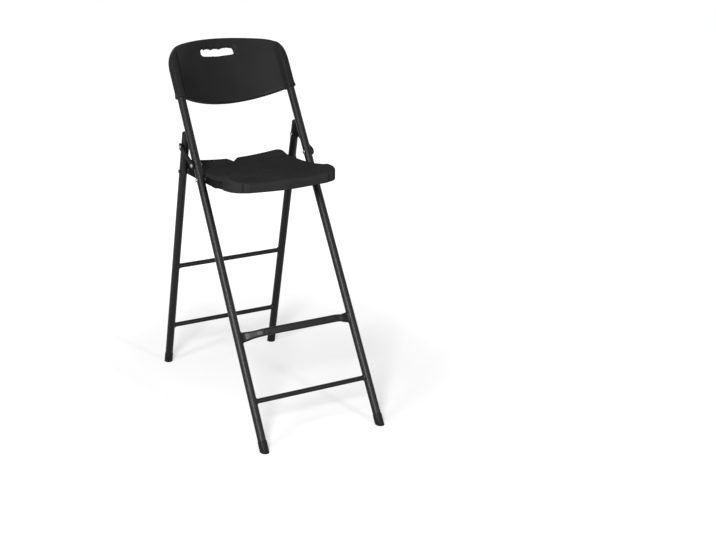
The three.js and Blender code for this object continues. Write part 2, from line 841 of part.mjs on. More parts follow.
function seatRail(side) {
  const { span } = seatPivots();
  const web = sidePlate(
    railOutline(-railBelow, railAbove, 0, railRearCut),
    side * railOuterX,
    side * (railOuterX - railThickness),
    straightOnly,
  );
  const flange = sidePlate(
    railOutline(-railBelow, -railBelow + railThickness, 0, 0),
    side * railOuterX,
    side * (railOuterX - railThickness - railFlange),
    straightOnly,
  );
  let rail = web.add(flange.subtract(railCornerCut(side)));
  for (const back of [0, span]) rail = rail.subtract(railHole(side, back));
  for (const forward of railScrewPlaces) {
    rail = rail.subtract(uprightHole(side * stripRivetX, -forward, screwRadius + gap));
  }
  return rail.subtract(uprightHole(side * stripRivetX, -railBend, stripRivetRadius + gap));
}

// What the web's cut rear corner takes off the flange.
function railCornerCut(side) {
  const rearEnd = seatPivots().span + railRearRound;
  const from = side * (railOuterX - railThickness - railFlange - overrun);
  const to = side * (railOuterX + overrun);
  return block(
    new THREE.Vector3(Math.min(from, to), rearEnd - railRearCut, -railBelow - overrun),
    new THREE.Vector3(Math.max(from, to), rearEnd + overrun, overrun),
  );
}

function railHole(side, back) {
  const from = new THREE.Vector3(side * (railOuterX - railThickness - overrun), back, 0);
  const to = new THREE.Vector3(side * (railOuterX + overrun), back, 0);
  return rod(from, to, rivetRadius + gap, smallSides);
}

function uprightHole(x, back, radius) {
  const from = new THREE.Vector3(x, back, -overrun);
  const to = new THREE.Vector3(x, back, railLevel(-back) + overrun);
  return rod(from, to, radius, smallSides);
}

// The underside of the rail's flange at a place forward of the seat pivot.
function railLevel(forward) {
  return -railBelow + Math.max(0, forward - railBend) * Math.tan(railKick);
}

// The room cut out of the seat's side and underside for a rail and its screws.
function railRebate(side) {
  const web = sidePlate(
    railOutline(-railBelow - overrun, railAbove, gap, 0),
    side * (seatHalfWidth - seatSideStep),
    side * (railOuterX + overrun),
    straightOnly,
  );
  const flange = sidePlate(
    railOutline(-railBelow - overrun, -railBelow + railThickness, gap, 0),
    side * (railOuterX - railThickness - railFlange - gap),
    side * (railOuterX + overrun),
    straightOnly,
  );
  let room = web.add(flange);
  for (const forward of railScrewPlaces) {
    const x = side * stripRivetX;
    const top = railLevel(forward) + railThickness + screwLength;
    const from = new THREE.Vector3(x, -forward, railLevel(forward));
    const to = new THREE.Vector3(x, -forward, top);
    room = room.add(rod(from, to, screwRadius + gap, smallSides));
  }
  const headRise = stripHeadRadius * Math.tan(railKick);
  const headTop = -railBelow + railThickness + stripHeadHeight + headRise + 2 * gap;
  const headRoom = rod(
    new THREE.Vector3(side * stripRivetX, -railBend, -railBelow),
    new THREE.Vector3(side * stripRivetX, -railBend, headTop),
    stripHeadRadius + gap,
    smallSides,
  );
  return room.add(headRoom);
}

// The flat strip under the seat that ties the rails, with a hole at each end.
function crossStrip() {
  const reach = stripRivetX + stripEnd;
  const top = -railBelow - gap;
  let strip = block(
    new THREE.Vector3(-reach, -railBend - stripWidth / 2, top - stripThickness),
    new THREE.Vector3(reach, -railBend + stripWidth / 2, top),
  );
  for (const side of Object.values(sides)) {
    strip = strip.subtract(uprightHole(side * stripRivetX, -railBend, stripRivetRadius + gap));
  }
  return strip;
}

// A link plate between its two rivets, drawn in at the waist.
function linkPlate(side, span) {
  const shape = new THREE.Shape();
  const tilt = Math.acos((plateEndRadius - plateWaist) / (span / 2));
  shape.absarc(0, 0, plateEndRadius, tilt, 2 * Math.PI - tilt, false);
  shape.lineTo(span / 2, -plateWaist);
  shape.absarc(span, 0, plateEndRadius, Math.PI + tilt, 3 * Math.PI - tilt, false);
  shape.lineTo(span / 2, plateWaist);
  const outerX = plateInnerX + plateThickness;
  let made = sidePlate(shape, side * plateInnerX, side * outerX, plateEndSteps);
  for (const back of [0, span]) {
    const from = new THREE.Vector3(side * (plateInnerX - overrun), back, 0);
    const to = new THREE.Vector3(side * (plateInnerX + overrun), back, 0);
    made = made.subtract(rod(from, to, rivetRadius + gap, smallSides));
  }
  return made;
}

// A rivet across a tube, from a place inside the stool to one outside it.
function frameRivet(side, along, insideX, outsideX) {
  const start = new THREE.Vector3(side * insideX, 0, along);
  const direction = new THREE.Vector3(side, 0, 0);
  return rivet(
    start,
    direction,
    outsideX - insideX,
    rivetRadius,
    rivetHeadRadius,
    rivetHeadHeight,
  );
}

function frameWasher(side, along, fromX, toX) {
  const start = new THREE.Vector3(side * fromX, 0, along);
  return washer(start, new THREE.Vector3(side, 0, 0), toX - fromX);
}

// The front frame, in its own plane: along the tubes is up, behind them is back.
function frontFrame() {
  const frame = new THREE.Group();
  frame.rotation.x = -frontLean;
  frame.add(meshOf("front_cross_bar", crossBar(frontLowBarAlong), blackSteel));
  frame.add(meshOf("footrest", footrest(), blackSteel));
  frame.add(meshOf("backrest_shell", backrest(), blackPlastic));
  for (const [name, side] of Object.entries(sides)) {
    const screwHole = rod(
      framePoint(side, backScrewAlong),
      framePoint(side, backScrewAlong, tubeRadius + overrun),
      screwRadius + gap,
      smallSides,
    );
    const tube = frameTube(side, frontTubeLength, [seatPivotAlong, linkUpperAlong]);
    frame.add(meshOf(`front_tube_${name}`, tube.subtract(screwHole), blackSteel));
    frame.add(meshOf(`front_foot_cap_${name}`, footCap(side, frontLean), capPlastic));
    const backScrew = screw(backScrewStart(side), new THREE.Vector3(0, -1, 0), screwLength);
    frame.add(meshOf(`backrest_screw_${name}`, backScrew, blackSteel));
    const seatRivet = frameRivet(
      side,
      seatPivotAlong,
      railOuterX - railThickness - gap,
      tubeOuterX(seatPivotAlong) + gap,
    );
    frame.add(meshOf(`seat_pivot_rivet_${name}`, seatRivet, brightSteel));
    const seatWasher = frameWasher(
      side,
      seatPivotAlong,
      railOuterX + gap,
      tubeInnerX(seatPivotAlong) - gap,
    );
    frame.add(meshOf(`seat_pivot_washer_${name}`, seatWasher, greyNylon));
    const linkRivet = frameRivet(
      side,
      linkUpperAlong,
      tubeInnerX(linkUpperAlong) - gap,
      plateInnerX + plateThickness + gap,
    );
    frame.add(meshOf(`link_upper_rivet_${name}`, linkRivet, brightSteel));
    const linkWasher = frameWasher(
      side,
      linkUpperAlong,
      tubeOuterX(linkUpperAlong) + gap,
      plateInnerX - gap,
    );
    frame.add(meshOf(`link_upper_washer_${name}`, linkWasher, greyNylon));
  }
  return frame;
}

// The rear frame, in its own plane, like the front frame.
function rearFrame() {
  const frame = new THREE.Group();
  frame.position.y = footSpread;
  frame.rotation.x = rearLean;
  frame.add(meshOf("rear_upper_bar", crossBar(rearUpperBarAlong), blackSteel));
  frame.add(meshOf("rear_lower_bar", crossBar(rearLowBarAlong), blackSteel));
  for (const [name, side] of Object.entries(sides)) {
    const tube = frameTube(side, rearTubeLength, [seatRearAlong, linkLowerAlong]);
    frame.add(meshOf(`rear_tube_${name}`, tube, blackSteel));
    frame.add(meshOf(`rear_foot_cap_${name}`, footCap(side, -rearLean), capPlastic));
    frame.add(meshOf(`rear_top_plug_${name}`, topPlug(side), capPlastic));
    const linkRivet = frameRivet(
      side,
      linkLowerAlong,
      tubeInnerX(linkLowerAlong) - gap,
      plateInnerX + plateThickness + gap,
    );
    frame.add(meshOf(`link_lower_rivet_${name}`, linkRivet, brightSteel));
    const linkWasher = frameWasher(
      side,
      linkLowerAlong,
      tubeOuterX(linkLowerAlong) + gap,
      plateInnerX - gap,
    );
    frame.add(meshOf(`link_lower_washer_${name}`, linkWasher, greyNylon));
    frame.add(meshOf(`seat_rear_rivet_${name}`, seatRearRivet(side), blackSteel));
    const seatWasher = frameWasher(
      side,
      seatRearAlong,
      railOuterX + gap,
      tubeInnerX(seatRearAlong) - gap,
    );
    frame.add(meshOf(`seat_rear_washer_${name}`, seatWasher, greyNylon));
  }
  return frame;
}

// The rear rivet's outer length, in the rear tube: it ends at the rail's outer face, and its head is outside.
function seatRearRivet(side) {
  const from = railOuterX + gap;
  const length = tubeOuterX(seatRearAlong) + gap - from;
  const profile = [
    [0, 0],
    [rivetRadius, 0],
    [rivetRadius, length],
    [rivetHeadRadius, length],
    ...domeProfile(rivetHeadRadius, rivetHeadHeight, length),
  ];
  const start = new THREE.Vector3(side * from, 0, seatRearAlong);
  return turned(profile, start, new THREE.Vector3(side, 0, 0), smallSides);
}

// The rear rivet's inner length, in the rail: its head lies inside, and it ends at the rail's outer face.
function seatRearHead(side, span) {
  const head = domeProfile(rivetHeadRadius, rivetHeadHeight, gap).map(([r, h]) => [r, -h]);
  const profile = [
    ...head.reverse(),
    [rivetHeadRadius, -gap],
    [rivetRadius, -gap],
    [rivetRadius, railThickness],
    [0, railThickness],
  ];
  const start = new THREE.Vector3(side * (railOuterX - railThickness), span, 0);
  return turned(profile, start, new THREE.Vector3(side, 0, 0), smallSides);
}

// The seat, in its own frame: the origin is its front pivot, and its rear pivot lies straight behind.
function seat() {
  const { front, span, tilt } = seatPivots();
  const stripRivetLength =
    railThickness + stripThickness + 3 * gap + stripHeadRadius * Math.tan(railKick);
  const group = new THREE.Group();
  group.position.set(0, front.x, front.y);
  group.rotation.x = tilt;
  group.add(meshOf("seat_shell", seatShell(), blackPlastic));
  group.add(meshOf("seat_cross_strip", crossStrip(), blackSteel));
  for (const [name, side] of Object.entries(sides)) {
    group.add(meshOf(`seat_rail_${name}`, seatRail(side), blackSteel));
    group.add(meshOf(`seat_rear_rivet_head_${name}`, seatRearHead(side, span), brightSteel));
    const stripRivet = rivet(
      new THREE.Vector3(side * stripRivetX, -railBend, -railBelow - stripThickness - 2 * gap),
      new THREE.Vector3(0, 0, 1),
      stripRivetLength,
      stripRivetRadius,
      stripHeadRadius,
      stripHeadHeight,
    );
    group.add(meshOf(`strip_rivet_${name}`, stripRivet, brightSteel));
    for (const [place, forward] of railScrewPlaces.entries()) {
      const level = railLevel(forward - screwHeadRadius) - gap;
      const start = new THREE.Vector3(side * stripRivetX, -forward, level);
      const railScrew = screw(start, new THREE.Vector3(0, 0, 1), screwLength);
      group.add(meshOf(`rail_screw_${name}_${place + 1}`, railScrew, blackSteel));
    }
  }
  return group;
}

// The link plates, in their own frame: the origin is the upper pivot, and the lower one lies straight behind.
function links() {
  const upper = new THREE.Vector2(
    linkUpperAlong * Math.sin(frontLean),
    linkUpperAlong * Math.cos(frontLean),
  );
  const lower = new THREE.Vector2(
    footSpread - linkLowerAlong * Math.sin(rearLean),
    linkLowerAlong * Math.cos(rearLean),
  );
  const group = new THREE.Group();
  group.position.set(0, upper.x, upper.y);
  group.rotation.x = lower.clone().sub(upper).angle();
  for (const [name, side] of Object.entries(sides)) {
    const plate = linkPlate(side, upper.distanceTo(lower));
    group.add(meshOf(`link_plate_${name}`, plate, blackSteel));
  }
  return group;
}

// The stool stands on the floor, with the middle of its footprint at the origin.
const stool = new THREE.Group();
stool.add(frontFrame(), rearFrame(), links(), seat());
const extent = new THREE.Box3().setFromObject(stool, true);
const middleY = (extent.min.y + extent.max.y) / 2;
for (const assembly of stool.children) assembly.position.y -= middleY;

export default stool;
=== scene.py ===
"""The looks of a folding bar stool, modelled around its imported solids.

Lengths are metres. +X is the stool's right seen from the front, +Y points back and +Z up.
"""

import logging
import math
from bisect import bisect_right
from collections.abc import Callable, Iterator, Sequence
from contextlib import contextmanager
from dataclasses import dataclass
from enum import Enum

import bpy
from mathutils import Matrix, Vector


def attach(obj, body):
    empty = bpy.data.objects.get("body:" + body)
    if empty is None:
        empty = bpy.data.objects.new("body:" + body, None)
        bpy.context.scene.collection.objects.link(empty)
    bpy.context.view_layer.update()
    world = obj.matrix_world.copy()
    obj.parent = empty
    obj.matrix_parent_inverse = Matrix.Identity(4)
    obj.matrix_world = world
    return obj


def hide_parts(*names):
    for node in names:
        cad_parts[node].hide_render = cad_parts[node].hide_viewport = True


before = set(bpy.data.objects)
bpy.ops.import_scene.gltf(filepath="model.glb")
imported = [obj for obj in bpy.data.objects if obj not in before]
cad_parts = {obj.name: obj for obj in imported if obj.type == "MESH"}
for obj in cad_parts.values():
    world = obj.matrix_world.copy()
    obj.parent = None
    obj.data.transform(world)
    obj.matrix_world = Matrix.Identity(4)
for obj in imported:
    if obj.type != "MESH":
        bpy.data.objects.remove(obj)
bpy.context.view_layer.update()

log = logging.getLogger("bar_stool")

Piece = bpy.types.Object
Socket = bpy.types.NodeSocket
Profile = Sequence[tuple[float, float]]

SIDES = {"left": -1, "right": 1}
JOIN = 1e-6
MERGE = 1e-5
FLAT_ANGLE = math.radians(2)
SMOOTH_ANGLE = math.radians(38)
BEVEL_ANGLE = math.radians(40)
ROUND = 64
CLOUD_WINDOW = (0.3, 0.7)
UP = Vector((0, 0, 1))


class Body(Enum):
    """The bodies that pieces move with."""

    FRONT = "front_frame"
    REAR = "rear_frame"
    LINKS = "links"
    SEAT = "seat"


class Slot(Enum):
    """The record's material slots."""

    STEEL = "black_steel"
    PLASTIC = "black_plastic"
    CAP = "cap_plastic"
    BRIGHT = "bright_steel"
    NYLON = "grey_nylon"


# Layout


@dataclass(frozen=True)
class Layout:
    """Where the stool's planes, tubes and pivots lie. Places along a tube start at the floor."""

    front_lean: float = math.radians(32.12)
    rear_lean: float = math.radians(11.71)
    foot_spread: float = 0.7152
    front_foot_y: float = -0.374647
    foot_half_gauge: float = 0.196
    pivot_half_gauge: float = 0.190
    seat_pivot: float = 0.829954
    link_upper: float = 0.876954
    link_lower: float = 0.797972
    seat_rear: float = 0.713972
    front_tube_end: float = 1.20195
    rear_tube_end: float = 0.837972
    tube_radius: float = 0.0125
    gap: float = 0.0003
    rail_outer: float = 0.1759
    rail_thickness: float = 0.003
    plate_inner: float = 0.20433
    plate_thickness: float = 0.003
    strip_rivet_x: float = 0.1630

    @property
    def rail_inner(self) -> float:
        """Where a rail's inner face lies."""
        return self.rail_outer - self.rail_thickness

    @property
    def plate_outer(self) -> float:
        """Where a link plate's outer face lies."""
        return self.plate_inner + self.plate_thickness

    @property
    def front(self) -> Matrix:
        """The front frame's plane: across, behind and along the tubes."""
        foot = Matrix.Translation((0, self.front_foot_y, 0))
        return foot @ Matrix.Rotation(-self.front_lean, 4, "X")

    @property
    def rear(self) -> Matrix:
        """The rear frame's plane, like the front one."""
        foot = Matrix.Translation((0, self.front_foot_y + self.foot_spread, 0))
        return foot @ Matrix.Rotation(self.rear_lean, 4, "X")

    @property
    def seat(self) -> Matrix:
        """The seat's place: its front pivot, with the rear pivot straight behind."""
        return self._bridge(self.seat_pivot, self.seat_rear)

    @property
    def links(self) -> Matrix:
        """The link plates' place: the upper pivot, with the lower one straight behind."""
        return self._bridge(self.link_upper, self.link_lower)

    def _ends(self, front_along: float, rear_along: float) -> tuple[Vector, Vector]:
        """A place on each frame's middle line."""
        return self.front @ Vector((0, 0, front_along)), self.rear @ Vector((0, 0, rear_along))

    def _bridge(self, front_along: float, rear_along: float) -> Matrix:
        """The place of what spans from a pivot of the front frame to one of the rear frame."""
        start, end = self._ends(front_along, rear_along)
        run = end - start
        return Matrix.Translation(start) @ Matrix.Rotation(math.atan2(run.z, run.y), 4, "X")

    def span(self, front_along: float, rear_along: float) -> float:
        """The distance between a pivot of the front frame and one of the rear frame."""
        start, end = self._ends(front_along, rear_along)
        return (end - start).length

    def half_gauge(self, along: float) -> float:
        """Half the distance between a frame's tube axes at a place along them."""
        drawn_in = self.foot_half_gauge - self.pivot_half_gauge
        return self.foot_half_gauge - drawn_in * along / self.seat_pivot

    def on_tube(self, side: int, along: float) -> Vector:
        """A point of a tube's axis in its frame's plane."""
        return Vector((side * self.half_gauge(along), 0, along))


LAYOUT = Layout()


# Small sums


def smooth(value: float) -> float:
    """Eases a value from 0 to 1."""
    share = min(1.0, max(0.0, value))
    return share * share * (3 - 2 * share)


def rounded(distance: float, radius: float) -> float:
    """How far a surface falls away at a distance from its rounded edge."""
    if distance >= radius:
        return 0.0
    over = radius - max(distance, 0.0)
    return radius - math.sqrt(radius * radius - over * over)


def curve(*corners: tuple[float, float], steps: int = 24) -> list[Vector]:
    """Samples a flat curve.

    Args:
        corners: the curve's control points, from its start to its end.
        steps: how many spans it is sampled in.

    Returns:
        The points from the start up to just before the end.
    """
    points = []
    for step in range(steps):
        level = [Vector(corner) for corner in corners]
        while len(level) > 1:
            level = [a.lerp(b, step / steps) for a, b in zip(level, level[1:])]
        points.append(level[0])
    return points


def scaled(shares: Profile, wide: float, high: float) -> list[tuple[float, float]]:
    """A profile of shares, scaled to a radius and a height."""
    return [(wide * across, high * up) for across, up in shares]


def flipped(profile: Profile) -> list[tuple[float, float]]:
    """A profile of radius and height pairs, turned to point down."""
    return [(radius, -up) for radius, up in reversed(profile)]


class ClosedPath:
    """A closed chain of flat points that distances are measured to."""

    def __init__(self, points: list[Vector]) -> None:
        """Keeps the chain's spans and its box."""
        self.spans = [(start, end - start) for start, end in zip(points, points[1:] + points[:1])]
        xs, ys = [point.x for point in points], [point.y for point in points]
        self.low, self.high = Vector((min(xs), min(ys))), Vector((max(xs), max(ys)))

    def distance(self, point: Vector, reach: float) -> float:
        """The distance from a point to the chain, or the reach where it is further."""
        if not (
            self.low.x - reach < point.x < self.high.x + reach
            and self.low.y - reach < point.y < self.high.y + reach
        ):
            return reach
        best = reach
        for start, run in self.spans:
            share = min(1.0, max(0.0, (point - start).dot(run) / run.length_squared))
            best = min(best, (start + run * share - point).length)
        return best


class MirroredOutline:
    """A closed outline, mirrored left to right, that a square grid can be laid on."""

    probe = 0.006

    def __init__(self, half: Sequence[Vector], low_corner: float, high_corner: float) -> None:
        """Measures the outline.

        Args:
            half: its right half, from the middle of its lower side to the middle of its upper.
            low_corner: where the lower corner lies, as a share of the half's length.
            high_corner: where the upper corner lies.
        """
        self.points = list(half)
        self.reach = [0.0]
        for before, after in zip(self.points, self.points[1:]):
            self.reach.append(self.reach[-1] + (after - before).length)
        self.marks = (-low_corner / 2, low_corner / 2, high_corner / 2, 1 - high_corner / 2)

    def at(self, turn: float) -> Vector:
        """The point at a share of the whole way round, from the middle of the lower side."""
        turn %= 1.0
        share = 2 * turn if turn < 0.5 else 2 * (1 - turn)
        distance = share * self.reach[-1]
        span = min(max(bisect_right(self.reach, distance), 1), len(self.points) - 1)
        low, high = self.reach[span - 1], self.reach[span]
        point = self.points[span - 1].lerp(self.points[span], (distance - low) / (high - low))
        return point if turn < 0.5 else Vector((-point.x, point.y))

    def inset(self, turn: float, distance: float) -> Vector:
        """The point that lies a distance inside the outline at a share of the way round."""
        run = (self.at(turn + self.probe) - self.at(turn - self.probe)).normalized()
        return self.at(turn) + Vector((-run.y, run.x)) * distance

    def turn_of(self, u: float, v: float) -> float:
        """The share of the way round for a direction from the middle of a square of half size 1."""
        size = max(abs(u), abs(v), JOIN)
        across, up = u / size, v / size
        bottom, right, top, left = self.marks
        if abs(v) >= abs(u):
            if v < 0:
                return bottom + (right - bottom) * (across + 1) / 2
            return top + (left - top) * (1 - across) / 2
        if u > 0:
            return right + (top - right) * (up + 1) / 2
        return left + (bottom + 1 - left) * (1 - up) / 2


@dataclass
class RingPlan:
    """How the square rings of a grid lie inside an outline."""

    outline: MirroredOutline
    middle: Vector
    insets: tuple[float, ...]
    cells: int
    crowding: float = 1.0

    def place(self, u: float, v: float) -> tuple[Vector, float]:
        """Lays a grid point on the outline's plane.

        Args:
            u: its place across a square of half size 1.
            v: its place up the square.

        Returns:
            The flat point, and how far inside the outline it lies, up to the last inset.
        """
        rings = self.cells // 2
        ring_number = round((1 - max(abs(u), abs(v))) * rings)
        last = len(self.insets) - 1
        inset = self.insets[min(ring_number, last)]
        edge = self.outline.inset(self.outline.turn_of(u, v), inset)
        if ring_number <= last:
            return edge, inset
        inwards = ((ring_number - last) / (rings - last)) ** self.crowding
        return edge.lerp(self.middle, inwards), inset


# Modelling


def select_only(*pieces: Piece) -> None:
    """Selects these objects and nothing else, the first one active."""
    bpy.ops.object.select_all(action="DESELECT")
    for piece in pieces:
        piece.select_set(True)
    bpy.context.view_layer.objects.active = pieces[0]


@contextmanager
def editing(piece: Piece, kind: str = "FACE") -> Iterator[None]:
    """Edit mode on one piece with all of it selected, in a selection mode."""
    select_only(piece)
    bpy.ops.object.mode_set(mode="EDIT")
    bpy.ops.mesh.select_mode(type=kind)
    bpy.ops.mesh.select_all(action="SELECT")
    try:
        yield
    finally:
        bpy.ops.object.mode_set(mode="OBJECT")


def on_all(step: Callable[..., object], **settings: object) -> None:
    """Runs a step of edit mode on the whole mesh."""
    bpy.ops.mesh.select_all(action="SELECT")
    step(**settings)


def primitive(add: Callable[..., object], **settings: object) -> Piece:
    """Adds a primitive by its operator and applies its place."""
    bpy.ops.object.select_all(action="DESELECT")
    add(**settings)
    bpy.ops.object.transform_apply(location=True, rotation=True, scale=True)
    return bpy.context.object


def close_up(piece: Piece) -> None:
    """Merges seams, fills open ends and turns the faces outwards."""
    with editing(piece, "VERT"):
        on_all(bpy.ops.mesh.remove_doubles, threshold=JOIN)
        on_all(bpy.ops.mesh.fill_holes, sides=0)
        on_all(bpy.ops.mesh.normals_make_consistent, inside=False)


def turned(profile: Profile, sides: int = 48) -> Piece:
    """Turns a solid: a disc that is extruded and resized from place to place.

    Args:
        profile: radius and height of each place, the first and last closed by a disc.
        sides: faces round it.

    Returns:
        The solid, along +Z.
    """
    (radius, height), *rest = profile
    piece = primitive(
        bpy.ops.mesh.primitive_circle_add,
        vertices=sides, radius=radius, location=(0, 0, height), fill_type="NGON",
    )
    with editing(piece):
        for wide, high in rest:
            push = {"value": (0, 0, high - height)}
            bpy.ops.mesh.extrude_region_move(TRANSFORM_OT_translate=push)
            share = wide / radius
            bpy.ops.transform.resize(value=(share, share, 1), center_override=(0, 0, high))
            radius, height = wide, high
        on_all(bpy.ops.mesh.normals_make_consistent, inside=False)
    return piece


def ring(profile: Profile, sides: int = ROUND) -> Piece:
    """Spins a closed profile of radius and height pairs into a ring round +Z."""
    piece = primitive(bpy.ops.mesh.primitive_circle_add, vertices=len(profile))
    for vertex, (radius, height) in zip(piece.data.vertices, profile):
        vertex.co = (radius, 0, height)
    with editing(piece, "EDGE"):
        bpy.ops.mesh.spin(steps=sides, angle=math.tau, center=(0, 0, 0), axis=(0, 0, 1))
    close_up(piece)
    return piece


def rolled(around: int, along: int, place: Callable[[float, int], Vector]) -> Piece:
    """Rolls a grid into a closed body.

    Args:
        around: faces round it.
        along: faces along it.
        place: gives the point for a share of the way round and a row.

    Returns:
        The closed piece.
    """
    piece = primitive(
        bpy.ops.mesh.primitive_grid_add, x_subdivisions=around, y_subdivisions=along, size=1
    )
    for vertex in piece.data.vertices:
        turn = round((vertex.co.x + 0.5) * around) % around / around
        vertex.co = place(turn, round((vertex.co.y + 0.5) * along))
    close_up(piece)
    return piece


def slab(cells: int, place: Callable[[float, float, bool], Vector]) -> Piece:
    """Extrudes a square grid and shapes it.

    Args:
        cells: faces along each side of the square.
        place: gives the point for a place in a square of half size 1, on the upper side or not.

    Returns:
        The closed piece.
    """
    piece = primitive(
        bpy.ops.mesh.primitive_grid_add, x_subdivisions=cells, y_subdivisions=cells, size=2
    )
    with editing(piece):
        bpy.ops.mesh.extrude_region_move(TRANSFORM_OT_translate={"value": UP})
    for vertex in piece.data.vertices:
        u, v = (round((at + 1) * cells / 2) * 2 / cells - 1 for at in vertex.co.xy)
        vertex.co = place(u, v, vertex.co.z > 0.5)
    close_up(piece)
    return piece


def prism(outline: Sequence[Vector], push: Vector) -> Piece:
    """A flat outline of points, extruded by a push."""
    piece = primitive(
        bpy.ops.mesh.primitive_circle_add, vertices=len(outline), fill_type="NGON"
    )
    for vertex, point in zip(piece.data.vertices, outline):
        vertex.co = point
    with editing(piece):
        bpy.ops.mesh.extrude_region_move(TRANSFORM_OT_translate={"value": push})
        on_all(bpy.ops.mesh.normals_make_consistent, inside=False)
    return piece


def applied(piece: Piece, kind: str, **settings: object) -> None:
    """Adds a modifier with its settings and applies it."""
    select_only(piece)
    modifier = piece.modifiers.new(kind.title(), kind)
    for key, value in settings.items():
        setattr(modifier, key, value)
    bpy.ops.object.modifier_apply(modifier=modifier.name)


def bevel(piece: Piece, width: float, segments: int = 3) -> Piece:
    """Rounds a piece's sharp edges."""
    applied(
        piece, "BEVEL", width=width, segments=segments, limit_method="ANGLE",
        angle_limit=BEVEL_ANGLE, use_clamp_overlap=False,
    )
    return piece


def cut(piece: Piece, cutter: Piece) -> None:
    """Cuts a body out of a piece and removes it."""
    applied(piece, "BOOLEAN", operation="DIFFERENCE", solver="EXACT", object=cutter)
    bpy.data.objects.remove(cutter)


def joined(parts: Sequence[Piece]) -> Piece:
    """Joins parts into the first one."""
    select_only(*parts)
    bpy.ops.object.join()
    return parts[0]


def moved(piece: Piece, matrix: Matrix) -> Piece:
    """Moves a piece's mesh, and leaves its object at the origin."""
    piece.data.transform(matrix)
    return piece


def running(start: Vector, run: Vector) -> Matrix:
    """Turns a piece modelled along +Z so that it starts at a point and runs along a direction."""
    return Matrix.Translation(start) @ run.to_track_quat("Z", "Y").to_matrix().to_4x4()


def merged_copy(node: str) -> Piece:
    """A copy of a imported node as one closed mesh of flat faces."""
    piece = bpy.data.objects.new(f"{node} copy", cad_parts[node].data.copy())
    bpy.context.collection.objects.link(piece)
    with editing(piece, "VERT"):
        on_all(bpy.ops.mesh.remove_doubles, threshold=MERGE)
        on_all(bpy.ops.mesh.dissolve_limited, angle_limit=FLAT_ANGLE)
        on_all(bpy.ops.mesh.normals_make_consistent, inside=False)
    return piece


# Finishes


def added(
    tree: bpy.types.NodeTree, kind: str, inputs: dict[str | int, object], **traits: str
) -> bpy.types.Node:
    """Adds a shader node.

    Args:
        tree: the node tree that it joins.
        kind: its type, without the leading words that all have.
        inputs: a number, a colour or a socket to link for each input that is set.
        traits: its other settings.

    Returns:
        The node.
    """
    node = tree.nodes.new(f"ShaderNode{kind}")
    for key, value in traits.items():
        setattr(node, key, value)
    for key, value in inputs.items():
        if isinstance(value, Socket):
            tree.links.new(value, node.inputs[key])
        else:
            node.inputs[key].default_value = value
    return node


def map_range(
    tree: bpy.types.NodeTree, value: Socket, window: tuple[float, float],
    ends: tuple[float, float], **traits: str,
) -> Socket:
    """Maps a window of values to a range between two ends."""
    inputs = {
        "Value": value, "From Min": window[0], "From Max": window[1], "To Min": ends[0],
        "To Max": ends[1],
    }
    return added(tree, "MapRange", inputs, **traits).outputs["Result"]


@dataclass(frozen=True)
class Pattern:
    """A pattern on Object coordinates: noise, or rounded cells where it has no detail."""

    scale: float
    detail: float = 0
    rough: float = 0.5

    def value(self, tree: bpy.types.NodeTree, place: Socket) -> Socket:
        """Adds the pattern's node and returns its value."""
        inputs = {"Vector": place, "Scale": self.scale}
        if not self.detail:
            return added(tree, "TexVoronoi", inputs, feature="SMOOTH_F1").outputs["Distance"]
        inputs |= {"Detail": self.detail, "Roughness": self.rough}
        return added(tree, "TexNoise", inputs).outputs["Fac"]


@dataclass(frozen=True)
class Relief:
    """A bump: its pattern, its strength and its depth."""

    pattern: Pattern
    strength: float
    depth: float


@dataclass(frozen=True)
class Finish:
    """A surface of two close tones, with an uneven gloss and fine reliefs."""

    name: str
    dark: tuple[float, float, float]
    light: tuple[float, float, float]
    cloud: Pattern
    gloss: Pattern
    gloss_window: tuple[float, float]
    roughness: tuple[float, float]
    reliefs: tuple[Relief, ...]
    specular: float = 0.5
    metallic: float = 0.0

    def material(self) -> bpy.types.Material:
        """Builds the material."""
        material = bpy.data.materials.new(self.name)
        material.use_nodes = True
        tree = material.node_tree
        surface = tree.nodes["Principled BSDF"]
        place = added(tree, "TexCoord", {}).outputs["Object"]
        tones = added(tree, "ValToRGB", {"Fac": self.cloud.value(tree, place)})
        ends, colours = tones.color_ramp.elements, (self.dark, self.light)
        for end, share, colour in zip(ends, CLOUD_WINDOW, colours):
            end.position = share
            end.color = (*colour, 1)
        tree.links.new(tones.outputs["Color"], surface.inputs["Base Color"])
        gloss = self.gloss.value(tree, place)
        rough = map_range(tree, gloss, self.gloss_window, self.roughness)
        tree.links.new(rough, surface.inputs["Roughness"])
        surface.inputs["Specular IOR Level"].default_value = self.specular
        surface.inputs["Metallic"].default_value = self.metallic
        below = {}
        for relief in self.reliefs:
            height = relief.pattern.value(tree, place)
            inputs = {"Strength": relief.strength, "Distance": relief.depth, "Height": height}
            below = {"Normal": added(tree, "Bump", inputs | below).outputs["Normal"]}
        tree.links.new(below["Normal"], surface.inputs["Normal"])
        return material


def powder_coat(
    name: str, tones: tuple[float, float], roughness: float, specular: float, peel: float
) -> Finish:
    """Black powder coat on steel, with a faint orange peel."""
    dark, light = tones
    return Finish(
        name, (dark,) * 3, (light, light, light * 1.04), cloud=Pattern(38, 5, 0.62),
        gloss=Pattern(210, 3), gloss_window=(0.35, 0.65),
        roughness=(roughness - 0.05, roughness + 0.06),
        reliefs=(
            Relief(Pattern(760, 2), peel, 0.00025), Relief(Pattern(2600, 2), peel * 0.6, 0.00006),
        ),
        specular=specular,
    )


